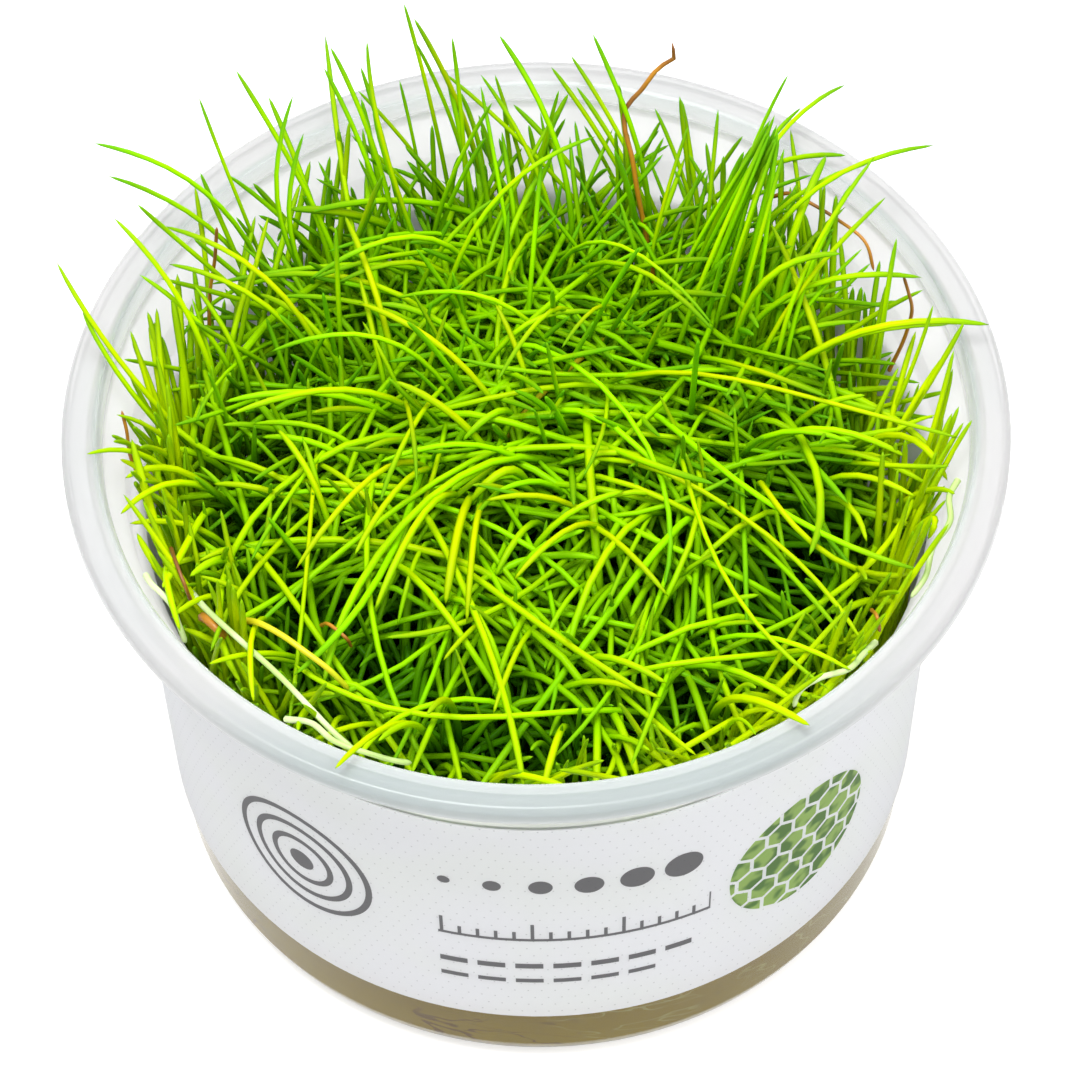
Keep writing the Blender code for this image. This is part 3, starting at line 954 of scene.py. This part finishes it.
def stem_mesh(name, template, paths, radii, numbers):
    """Many stems as one mesh: the template bent along every path, with numbers on each."""
    corners, faces, stations = template
    count = len(paths)
    ring = np.abs(corners[:, 2:] - stations).argmin(1)
    place = stations * (paths.shape[1] - 1)
    left = np.minimum(place.astype(int), paths.shape[1] - 2)
    part = (place - left)[:, None]
    along = np.gradient(paths, axis=1)
    along = unit(along[:, left] * (1 - part) + along[:, left + 1] * part)
    paths = paths[:, left] * (1 - part) + paths[:, left + 1] * part
    chord = paths[:, -1] - paths[:, 0]
    side = unit(np.cross(chord, [0.0, 0.0, 1.0]) + [1e-7, 0, 0])[:, None]
    side = unit(side - (side * along).sum(-1, keepdims=True) * along)
    front = np.cross(side, along)
    offset = corners[:, :1] * front[:, ring] + corners[:, 1:2] * side[:, ring]
    points = paths[:, ring] + radii[:, ring][..., None] * offset
    sizes = [len(face) for face in faces]
    flat = np.concatenate(faces)
    shifts = np.arange(count)[:, None] * len(corners)
    mesh = bpy.data.meshes.new(name)
    mesh.vertices.add(count * len(corners))
    mesh.vertices.foreach_set("co", points.astype(np.float32).ravel())
    mesh.loops.add(count * len(flat))
    mesh.loops.foreach_set("vertex_index", (flat[None] + shifts).astype(np.int32).ravel())
    starts = np.concatenate([[0], np.cumsum(sizes * count)[:-1]]).astype(np.int32)
    mesh.polygons.add(count * len(faces))
    mesh.polygons.foreach_set("loop_start", starts)
    mesh.update(calc_edges=True)
    columns = {key: values[:, None] for key, values in numbers.items()}
    columns |= {"along": corners[:, 2], "side": corners[:, 0]}
    columns |= {"shade": depth_shade(points), "lit": by_wall(points)}
    for key, values in columns.items():
        full = np.broadcast_to(values, (count, len(corners)))
        made = mesh.attributes.new(key, "FLOAT", "POINT")
        made.data.foreach_set("value", full.astype(np.float32).ravel())
    return mesh


def taper(radius, share, slender=0.0):
    """Each stem's radius at shares of its length: a stout foot, an even shaft and a point."""
    shape = 1.0 + 0.12 * (1 - smooth_share(share, 0.0, 0.2))
    shape = shape * (1.0 - 0.08 * smooth_share(share, 0.30, 0.90))
    shape = shape * (1.0 - 0.50 * smooth_share(share, 0.95, 1.0))
    thinned = smooth_share(share, 0.55, 0.97) * 0.32
    return radius[:, None] * shape * (1.0 - np.reshape(slender, (-1, 1)) * thinned)


def cubic(share, guide):
    """The two ends' part of an even cubic curve, and the pull of its middle controls."""
    pulls = np.concatenate([3 * (1 - share) ** 2 * share, 3 * (1 - share) * share**2], axis=1)
    return (1 - share) ** 3 * guide[0] + share**3 * guide[-1], pulls


def eased(guide):
    """One even cubic curve from a guide's root to its tip, as close to its points as can be."""
    ends, pulls = cubic(shares_along(guide)[:, None], guide)
    controls = np.linalg.lstsq(pulls[1:-1], (guide - ends)[1:-1], rcond=None)[0]
    ends, pulls = cubic(PATH_SHARES[:, None], guide)
    return ends + pulls @ controls


def drawn_lines(draw, guides, back):
    """A tuft's guides as even curves, swayed a little at the back and held inside the cup."""
    lines = np.array([eased(guide) for guide in guides])
    lines = lines[np.linalg.norm(lines[:, -1] - CURLED_TIP, axis=1) > SAME_TIP]
    swayed = lines.copy()
    sway = draw.normal(0, LINE_SWAY, (len(lines), 1, 2)) * back
    swayed[..., :2] += sway * np.sin(math.pi * PATH_SHARES)[:, None]
    inside = (reach_of(swayed) < inner_radius(swayed[..., 2]) - WALL_MARGIN).all(1)
    lines = np.where(inside[:, None, None], swayed, lines)
    held = np.minimum(1.0, (inner_radius(lines[..., 2]) - WALL_MARGIN) / reach_of(lines))
    low = 1 - smooth_share(lines[..., 2], *FREE_HEIGHTS)
    lines[..., :2] *= (1 - low * (1 - held))[..., None]
    return lines


def companions(draw, lines, back):
    """Stems that start round the foot of a drawn line and cross, close up or fan out along it."""
    each = COMPANIONS + int(round(MORE_AT_BACK * back))
    share = PATH_SHARES[:, None]
    found = []
    for line in lines:
        tent = np.linalg.norm(line[-1] - TENT_TIP) < SAME_TIP
        for place in range(each + MORE_IN_TENT * tent):
            stray = back * (place > 0) * (not tent)
            ending = draw.uniform(0.66 + 0.24 * back, 0.98)
            ending += (1.0 - ending) * 0.8 * tent
            part = along_curve(line, PATH_STEPS + 1, ending)
            turn = draw.normal(0, 0.3 * (1 - back) + 1.6 * stray)
            across = (part[:, :2] - part[0, :2]) * (1 + draw.uniform(0, 1.4) * stray)
            lower = 1 - draw.uniform(0.02, 0.12) * back * (1 - 0.7 * tent)
            lower -= draw.uniform(0.10, 0.30) * stray
            part[:, 2] = part[0, 2] + (part[:, 2] - part[0, 2]) * lower
            part[:, 0] = part[0, 0] + across @ [math.cos(turn), -math.sin(turn)]
            part[:, 1] = part[0, 1] + across @ [math.sin(turn), math.cos(turn)]
            foot = draw.normal(0, TENT_FOOT_SPREAD if tent else FOOT_SPREAD, 2)
            tip = draw.choice([0.2, 0.6, -1.0, 1.8]) * foot + draw.normal(0, COMPANION_SPREAD, 2)
            tip += draw.normal(0, STRAY_SPREAD, 2) * stray
            tip *= 1 - 0.8 * tent
            bow = draw.normal(0, 0.40 * COMPANION_SPREAD + STRAY_BOW * stray, 2)
            closing = 1 - share ** (1 + 1.4 * tent)
            part[:, :2] += foot * closing + tip * share**1.5 + bow * np.sin(math.pi * share)
            found.append(part)
    return np.array(found)


def round_axis(reach, turn):
    """Points at these distances and turns round an upright axis."""
    return np.stack([reach * np.cos(turn), reach * np.sin(turn)], -1)


def leaning(lean, azimuth):
    """Paths of unit length from the origin that lean from upright towards an azimuth."""
    headings = np.concatenate([round_axis(np.sin(lean), azimuth), np.cos(lean)[..., None]], -1)
    steps = 0.5 * (headings[:, 1:] + headings[:, :-1]) / PATH_STEPS
    return np.concatenate([np.zeros((len(steps), 1, 3)), np.cumsum(steps, axis=1)], axis=1)


def rooted(shapes, lengths, base):
    """The shapes at these lengths, each with its root in the gel at its base."""
    paths = shapes * lengths[:, None, None]
    paths[..., :2] += base[:, None]
    paths[..., 2] += GEL_TOP - ROOT_DEPTH
    return paths


def wall_paths(draw, crown, back):
    """Bundles of stems that stand close to the wall and lean on it, up to the mouth."""
    edge = smooth_share(math.hypot(crown[0], crown[1]), *EDGE_RADII)
    beside = 1 - smooth_share(-crown[1], *FRONT_WALL)
    count = int(WALL_STEMS * edge * beside * (1 - 0.45 * back))
    bundles = max(1, count // BUNDLE_SIZE)
    bundle = draw.integers(0, bundles, count)
    turn = draw.normal(0, 0.16, bundles)[bundle] + draw.normal(0, 0.012, count)
    turn += math.atan2(crown[1], crown[0])
    reach = draw.uniform(*BUNDLE_RADII, bundles)[bundle]
    reach += draw.normal(0, BUNDLE_SPREAD, count)
    base = round_axis(reach, turn)
    rear = smooth_share(crown[1], *BACK_WALL)
    lean_end = draw.uniform(0.35, 1.05, bundles)[bundle]
    lean_end = np.maximum(0.1, lean_end + draw.normal(0, 0.12, count))[:, None]
    lean = 0.10 + (lean_end - 0.10) * PATH_SHARES ** draw.uniform(0.8, 2.0, count)[:, None]
    rearwards = np.sign(crown[0]) * draw.choice([1, 1, 1, -1], bundles)
    around = turn + (rearwards * draw.uniform(0.9, 1.9, bundles))[bundle]
    around += draw.normal(0, 0.12 + 0.25 * rear, count)
    curl = draw.normal(0, 0.3, count)[:, None] * PATH_SHARES
    shape = leaning(lean, around[:, None] + curl)
    tall = draw.uniform(0.76 - 0.15 * rear, 1.16 - 0.16 * rear, count)
    rise = (canopy_height(base[:, 1]) - GEL_TOP) * tall
    return rooted(shape, rise / shape[:, -1, 2], base), tall


def grown_paths(draw, crown, count):
    """Stems that rise from round a crown, then lie over in the canopy or go on upright."""
    shoots = max(3, count // SHOOT_SIZE)
    spread = ROOT_SPREAD * np.sqrt(draw.uniform(0, 1, shoots))
    bases = crown[:2] + round_axis(spread, draw.uniform(0, 2 * math.pi, shoots))
    bases *= np.minimum(1.0, FIELD_RADIUS / np.maximum(reach_of(bases), 1e-9))[:, None]
    shoot = draw.integers(0, shoots, count)
    base = bases[shoot] + draw.normal(0, SHOOT_SPREAD, (count, 2))
    inwards = np.arctan2(-base[:, 1], -base[:, 0])
    back = smooth_share(base[:, 1], *BACK_STEMS)
    wall = smooth_share(reach_of(base), *EDGE_RADII)
    front = smooth_share(-base[:, 1], *FRONT_STEMS)
    upright = np.maximum(0.8 * back, wall * (1 - 0.8 * front))
    standing = draw.uniform(0, 1, count) < 0.03 + (0.72 - 0.12 * back) * upright
    lying_tall = draw.uniform(0.66 - 0.20 * back, 1.0 - 0.14 * back, count)
    lying_tall += (draw.uniform(0, 1, count) < 0.22) * 0.22 * back
    standing_tall = draw.uniform(0.60 + 0.14 * back, 1.04 - 0.04 * back, count)
    tall = np.where(standing, standing_tall, lying_tall)
    rise = (canopy_height(base[:, 1]) - GEL_TOP) * tall

    lean_start = np.abs(draw.normal(0, 0.12 + 0.08 * back, count))[:, None]
    standing_lean = draw.uniform(0.10 + 0.35 * back, 0.80 + 0.75 * back, count)
    lean_end = np.where(standing, standing_lean, draw.uniform(*LYING_LEANS, count))[:, None]
    middle = np.where(standing, 0.6, draw.uniform(0.40, 0.56, count))[:, None]
    width = np.where(standing, 0.6, draw.uniform(0.14, 0.30, count))[:, None]
    bend = smooth_share(PATH_SHARES, middle - width, middle + width)
    lean = lean_start + (lean_end - lean_start) * bend
    lean += draw.normal(0, 0.06, count)[:, None] * np.sin(6.0 * PATH_SHARES + tall[:, None] * 40)
    curl = draw.normal(0, 1, count) * np.where(standing, 0.60, 1.25)
    curl = curl[:, None] * PATH_SHARES**2

    heading = draw.uniform(0, 2 * math.pi, shoots)[shoot]
    azimuth = heading + draw.normal(0, 1, count) * np.where(standing, 0.5, 1.2)
    sideways = draw.choice([0, math.pi], count) + draw.normal(0, 0.6, count)
    azimuth = np.where(standing & (back > 0.4), sideways, azimuth)
    for _ in range(2):
        shape = leaning(lean, azimuth[:, None] + curl)
        paths = rooted(shape, np.clip(rise / shape[..., 2].max(1), *STEM_LENGTHS), base)
        past = reach_of(paths).max(1) > FIELD_RADIUS + OVERHANG
        azimuth = np.where(past, inwards + draw.normal(0, 0.8, count), azimuth)
    return paths, tall


def clear_of_hollows(draw, paths):
    """Which stems stay: most of those that would cross a hollow are left out."""
    stays = np.ones(len(paths), bool)
    high = paths[..., 2] > HOLLOW_DEPTH
    for x, y, radius in HOLLOWS:
        apart = np.hypot(paths[..., 0] - x, paths[..., 1] - y)
        crossing = ((apart < radius) & high).any(1)
        stays &= ~(crossing & (draw.uniform(0, 1, len(paths)) < HOLLOW_SHARE))
    return stays


def stem_material(settings):
    """Satin, slightly see-through green: pale at the root, dark at the tip, with painted shade deep
    down and on the flanks.
    """
    nodes = MaterialNodes("spikerush_green")
    along = nodes.number("along")
    side = nodes.number("side")
    mottle = nodes.noise(nodes.place(), 420.0, 1.0)
    line = side.maths("SINE", side * 9.0)
    painted_flank_shade = side.fade(-0.5, 0.95)
    fresh = (nodes.number("tone") + (mottle - 0.5) * 0.5 + line * 0.14).ramp(0.0, 1.0)
    shade = nodes.number("shade")
    # Painted shade: below the canopy, stems lose their pale fresh tone and turn greener
    fresh = fresh * (1.0 - shade.ramp(0.0, 0.45) * 0.75)
    colour = nodes.blend(fresh, settings.grown, settings.fresh)
    lit = nodes.number("lit")
    colour = nodes.blend(lit * 0.72, colour, settings.lit)
    # Painted shade: a stem's sides and underside are darkened, less so beside the wall
    colour = nodes.blend(painted_flank_shade * (0.56 - lit * 0.36), colour, settings.painted_flank_shade)
    # Painted shade: stems deep below the canopy are darkened towards the deep colour
    colour = nodes.blend(shade * 0.94, colour, settings.deep)
    ending = along.ramp(0.84, 1.0) * (0.2 + nodes.number("dark_tip") * 0.75)
    colour = nodes.blend(ending, colour, settings.tip)
    colour = nodes.blend(nodes.number("dead"), colour, settings.dead)
    stem = nodes.surface(
        {
            "Base Color": colour,
            "Roughness": 0.34 + (mottle - 0.5) * 0.2,
            "IOR": 1.40,
            "Specular IOR Level": 0.045,
            "Normal": nodes.bump(line, 0.15, 0.0001),
        }
    )
    return nodes.finish(nodes.backlit(0.24 - shade * 0.22, stem, settings.glow))


class CULTURECUP_OT_tufts(bpy.types.Operator):
    """Grow every tuft's stems from its crown"""

    bl_idname = "culture_cup.tufts"
    bl_label = "Tufts"

    def execute(self, context):
        settings = context.scene.culture_cup.stems
        material = stem_material(settings)
        template = stem_template(STEM_STATIONS)
        for index, node in enumerate(TUFT_NODES):
            draw = np.random.default_rng(settings.seed + index)
            self.grow_tuft(draw, node, settings, template, material)
        return {"FINISHED"}

    def grow_tuft(self, draw, node, settings, template, material):
        guides, crown = guides_of(node)
        back = smooth_share(crown[1], *BACK_TUFTS)
        lines = drawn_lines(draw, guides, back)
        near = companions(draw, lines, back)
        count = settings.per_tuft * (1 - (1 - settings.back_share) * back)
        if math.dist(crown[:2], THIN_PLACE) < THIN_RADIUS:
            count *= THIN_SHARE
        grown, tall = grown_paths(draw, crown, int(count))
        stays = clear_of_hollows(draw, grown)
        leaned, leaned_tall = wall_paths(draw, crown, back)
        others = np.concatenate([near, grown[stays], leaned])
        margin = WALL_MARGIN + draw.uniform(0, MARGIN_SPREAD, len(others))
        paths = np.concatenate([lines, squeezed_to_wall(others, margin)])
        total = len(paths)
        radius = settings.radius * np.exp(draw.normal(-0.02, 0.13, total)) * (1 - 0.20 * back)
        height = np.concatenate([np.ones(len(lines) + len(near)), tall[stays], leaned_tall])
        # Painted light: taller stems get more of the fresh, pale colour, as the top of the stand is
        # lit most; the rest of the tone varies at random
        tone = draw.normal(0.52, 0.26, total) + 0.6 * (height - 0.85)
        # Painted light: stems leaning on the wall get much more of the fresh colour, as light comes in
        # through the wall
        tone[total - len(leaned):] += 0.80
        radius[total - len(leaned):] *= 1.12
        ends = paths[:, -1] - paths[:, -1 - TIP_STEPS]
        rising = ends[:, 2] / np.linalg.norm(ends, axis=1)
        tone = np.clip(tone - back * (0.12 + 0.22 * smooth_share(rising, 0.2, 0.8)), -0.2, 1)
        dead = (draw.uniform(0, 1, total) < DEAD_SHARE) * draw.uniform(0.5, 1.0, total)
        radius = radius * (1 - 0.4 * dead)
        upright = smooth_share(rising, 0.3, 0.9)
        dark_tip = np.maximum(0.6 * upright, 0.85 * back)
        numbers = {"tone": tone, "dead": dead, "dark_tip": dark_tip}
        name = node.replace("tuft", "stems")
        radii = taper(radius, STEM_STATIONS, upright * (1 - 0.75 * back))
        mesh = stem_mesh(name, template, paths, radii, numbers)
        show(name, mesh, material, [node])


# Runners and dry strands, as points seen in the photo and set against what they lie on

RUNNER_RADIUS = 0.00034
STRAND_RADIUS = 0.00022
CURLED_RADIUS = 0.00030
SHEATH_RADIUS = 0.00050
YELLOW_RADIUS = 0.00036

# The two colours of each kind, and the share of light from behind that it lets through
RUNNER_LOOK = ((0.50, 0.68, 0.22), (0.74, 0.84, 0.50), 0.3)
DRY_LOOK = ((0.48, 0.20, 0.01), (0.20, 0.07, 0.01), 0.15)
YELLOW_LOOK = ((0.62, 0.70, 0.01), (0.75, 0.60, 0.01), 0.3)

RUNNERS = {
    "runner_left": (
        (-0.0365, -0.0155, 0.0540), (-0.0345, -0.0200, 0.0568), (-0.0306, -0.0252, 0.0580),
        (-0.0269, -0.0295, 0.0582), (-0.0237, -0.0335, 0.0580), (-0.0210, -0.0366, 0.0575),
        (-0.0190, -0.0380, 0.0565),
    ),
    "runner_wall": (
        (-0.0264, -0.0330, 0.0555), (-0.0236, -0.0350, 0.0575), (-0.0213, -0.0376, 0.0580),
        (-0.0181, -0.0391, 0.0580), (-0.0151, -0.0402, 0.0580), (-0.0134, -0.0395, 0.0565),
    ),
    "runner_far_left": (
        (-0.0411, -0.0150, 0.0565), (-0.0403, -0.0172, 0.0578), (-0.0393, -0.0185, 0.0580),
        (-0.0383, -0.0196, 0.0575), (-0.0377, -0.0208, 0.0562), (-0.0370, -0.0217, 0.0535),
    ),
    "runner_right": (
        (0.0347, -0.0250, 0.0555), (0.0332, -0.0278, 0.0573), (0.0318, -0.0298, 0.0578),
        (0.0287, -0.0312, 0.0582), (0.0265, -0.0328, 0.0582), (0.0258, -0.0337, 0.0565),
    ),
    "runner_right_wall": (
        (0.0442, -0.0068, 0.0590), (0.0432, -0.0088, 0.0590), (0.0431, -0.0119, 0.0588),
        (0.0411, -0.0150, 0.0582), (0.0402, -0.0180, 0.0572), (0.0386, -0.0198, 0.0560),
    ),
}
DRY_STRANDS = {
    "strand_wall": (
        (0.0262, 0.0335, 0.0575), (0.0282, 0.0327, 0.0590), (0.0305, 0.0310, 0.0592),
        (0.0333, 0.0288, 0.0590), (0.0362, 0.0258, 0.0585), (0.0370, 0.0240, 0.0560),
    ),
    "strand_right": (
        (0.0384, 0.0150, 0.0500), (0.0400, 0.0152, 0.0560), (0.0405, 0.0152, 0.0605),
        (0.0400, 0.0150, 0.0635), (0.0394, 0.0153, 0.0660),
    ),
    "strand_left": (
        (-0.0352, 0.0205, 0.0520), (-0.0348, 0.0210, 0.0585), (-0.0340, 0.0215, 0.0635),
        (-0.0335, 0.0220, 0.0685),
    ),
    "strand_far_left": (
        (-0.0410, -0.0020, 0.0500), (-0.0421, -0.0010, 0.0545), (-0.0430, 0.0000, 0.0576),
        (-0.0432, 0.0010, 0.0607), (-0.0436, 0.0020, 0.0628),
    ),
    "strand_front_left": (
        (-0.0385, -0.0116, 0.0565), (-0.0378, -0.0150, 0.0585), (-0.0370, -0.0172, 0.0580),
        (-0.0364, -0.0175, 0.0550),
    ),
    "strand_middle": (
        (-0.0228, -0.0205, 0.0545), (-0.0217, -0.0225, 0.0572), (-0.0203, -0.0238, 0.0570),
        (-0.0197, -0.0230, 0.0540),
    ),
    "strand_front_right": (
        (0.0345, -0.0212, 0.0560), (0.0349, -0.0236, 0.0580), (0.0352, -0.0240, 0.0560),
    ),
}
CURLED_STRAND = (
    (0.0148, 0.0256, 0.0150), (0.0147, 0.0272, 0.0341), (0.0131, 0.0297, 0.0509),
    (0.0112, 0.0330, 0.0640), (0.0107, 0.0360, 0.0707), (0.0120, 0.0365, 0.0721),
    (0.0134, 0.0370, 0.0743), (0.0143, 0.0372, 0.0756), (0.0154, 0.0373, 0.0761),
    (0.0158, 0.0374, 0.0768), (0.0155, 0.0375, 0.0780), (0.0154, 0.0375, 0.0792),
)
OLD_SHEATH = (
    (-0.0353, -0.0184, 0.0535), (-0.0346, -0.0210, 0.0566), (-0.0337, -0.0220, 0.0566),
    (-0.0326, -0.0211, 0.0530),
)
YELLOW_STEM = (
    (-0.0312, -0.0207, 0.0560), (-0.0288, -0.0234, 0.0590), (-0.0267, -0.0250, 0.0592),
    (-0.0243, -0.0270, 0.0590), (-0.0220, -0.0285, 0.0580), (-0.0199, -0.0290, 0.0548),
)


def strand_material(name, first, second, glow_share):
    """A stem that changes between two colours in patches along its length."""
    nodes = MaterialNodes(name)
    place = nodes.place()
    patches = nodes.noise(place, 110.0, 3.0)
    colour = nodes.blend(patches.ramp(0.38, 0.62), first, second)
    strand = nodes.surface(
        {
            "Base Color": colour,
            "Roughness": 0.40 + (patches - 0.5) * 0.2,
            "Normal": nodes.bump(nodes.noise(place, 1500.0), 0.3, 0.0001),
        }
    )
    return nodes.finish(nodes.backlit(glow_share, strand, second))


class CULTURECUP_OT_strands(bpy.types.Operator):
    """Lay the pale runners along the wall and add the dry strands"""

    bl_idname = "culture_cup.strands"
    bl_label = "Runners and dry strands"

    def execute(self, context):
        template = stem_template(STRAND_STATIONS)
        pale = strand_material("runner_pale", *RUNNER_LOOK)
        dry = strand_material("strand_dry", *DRY_LOOK)
        yellow = strand_material("stem_yellow", *YELLOW_LOOK)
        rows = [(name, points, pale, RUNNER_RADIUS) for name, points in RUNNERS.items()]
        rows.append(("strand_curled", CURLED_STRAND, dry, CURLED_RADIUS))
        rows += [(name, points, dry, STRAND_RADIUS) for name, points in DRY_STRANDS.items()]
        rows.append(("sheath_old", OLD_SHEATH, dry, SHEATH_RADIUS))
        rows.append(("stem_yellow", YELLOW_STEM, yellow, YELLOW_RADIUS))
        for name, points, material, radius in rows:
            path = along_curve(np.array(points), 2 * PATH_STEPS + 1)[None]
            radii = taper(np.array([radius]), STRAND_STATIONS)
            mesh = stem_mesh(name, template, path, radii, {})
            show(name, mesh, material)
        return {"FINISHED"}


# Stage

CAMERA_PLACE = (0.0, -0.39586, 0.57732)
CAMERA_TILT = 36.423
CAMERA_TURN = -0.026
CAMERA_ROLL = -1.264
CAMERA_LENS = 205.7
SENSOR = 36.0
FLOOR_REACH = 3.0
FLOOR_DEPTH = 0.0002
FLOOR_GLOW = 0.60
AIM = (0.0, 0.0, 0.04)

# Each light's place, width, and power as a share of the key light's
LIGHTS = {
    "key": ((-0.16, -0.10, 0.98), 0.50, 1.0),
    "fill": ((0.42, -0.30, 0.78), 0.60, 0.35),
}


class CULTURECUP_OT_stage(bpy.types.Operator):
    """Lay the floor and set the lights and the camera"""

    bl_idname = "culture_cup.stage"
    bl_label = "Stage"

    def execute(self, context):
        settings = context.scene.culture_cup.stage
        self.lay_floor(settings)
        self.set_lights(context, settings)
        self.set_camera(context)
        context.scene.view_settings.view_transform = "Standard"
        return {"FINISHED"}

    def lay_floor(self, settings):
        bm = bmesh.new()
        below = Matrix.Translation((0.0, 0.0, -FLOOR_DEPTH))
        bmesh.ops.create_grid(bm, x_segments=1, y_segments=1, size=FLOOR_REACH, matrix=below)
        mesh = mesh_of("floor", bm)
        nodes = MaterialNodes("studio_floor")
        white = nodes.surface(
            {
                "Base Color": settings.floor,
                "Roughness": 0.7,
                "Emission Color": (1.0, 1.0, 1.0),
                "Emission Strength": FLOOR_GLOW,
            }
        )
        mesh.materials.append(nodes.finish(white))
        floor = bpy.data.objects.new("floor", mesh)
        bpy.context.scene.collection.objects.link(floor)

    def set_lights(self, context, settings):
        world = bpy.data.worlds.new("studio")
        world.use_nodes = True
        sky = world.node_tree.nodes["Background"]
        sky.inputs["Color"].default_value = (1.0, 1.0, 1.0, 1.0)
        sky.inputs["Strength"].default_value = settings.sky
        context.scene.world = world
        for name, (place, width, share) in LIGHTS.items():
            data = bpy.data.lights.new(name, "AREA")
            data.shape = "DISK"
            data.size = width
            data.energy = share * settings.key
            lamp = bpy.data.objects.new(name, data)
            lamp.location = place
            aim = Vector(AIM) - Vector(place)
            lamp.rotation_euler = aim.to_track_quat("-Z", "Y").to_euler()
            context.scene.collection.objects.link(lamp)

    def set_camera(self, context):
        data = bpy.data.cameras.new("camera")
        data.sensor_fit = "HORIZONTAL"
        data.sensor_width = SENSOR
        data.lens = CAMERA_LENS
        data.clip_start = 0.01
        camera = bpy.data.objects.new("camera", data)
        turn = Matrix.Rotation(math.radians(CAMERA_TURN), 4, "Z")
        tilt = Matrix.Rotation(math.radians(CAMERA_TILT), 4, "X")
        roll = Matrix.Rotation(math.radians(CAMERA_ROLL), 4, "Z")
        camera.matrix_world = Matrix.Translation(CAMERA_PLACE) @ turn @ tilt @ roll
        context.scene.collection.objects.link(camera)
        context.scene.camera = camera


# Panel


OPERATORS = (
    CULTURECUP_OT_cup,
    CULTURECUP_OT_label,
    CULTURECUP_OT_gel,
    CULTURECUP_OT_tufts,
    CULTURECUP_OT_strands,
    CULTURECUP_OT_stage,
)


class CULTURECUP_PT_panel(bpy.types.Panel):
    """Settings and steps of the culture cup"""

    bl_label = "Culture Cup"
    bl_idname = "CULTURECUP_PT_panel"
    bl_space_type = "VIEW_3D"
    bl_region_type = "UI"
    bl_category = "Culture Cup"

    def draw(self, context):
        settings = context.scene.culture_cup
        for group in ("cup", "label", "gel", "stems", "stage"):
            box = self.layout.box()
            box.label(text=group.title())
            values = getattr(settings, group)
            for name in values.__annotations__:
                box.prop(values, name)
        for operator in OPERATORS:
            self.layout.operator(operator.bl_idname)


CLASSES = (
    CupSettings,
    LabelSettings,
    GelSettings,
    StemSettings,
    StageSettings,
    CultureCupSettings,
    *OPERATORS,
    CULTURECUP_PT_panel,
)


def register():
    for made in CLASSES:
        bpy.utils.register_class(made)
    bpy.types.Scene.culture_cup = PointerProperty(type=CultureCupSettings)


def unregister():
    del bpy.types.Scene.culture_cup
    for made in reversed(CLASSES):
        bpy.utils.unregister_class(made)


def main():
    register()
    bpy.ops.culture_cup.cup()
    bpy.ops.culture_cup.label()
    bpy.ops.culture_cup.gel()
    bpy.ops.culture_cup.tufts()
    bpy.ops.culture_cup.strands()
    bpy.ops.culture_cup.stage()


if __name__ == "__main__":
    main()
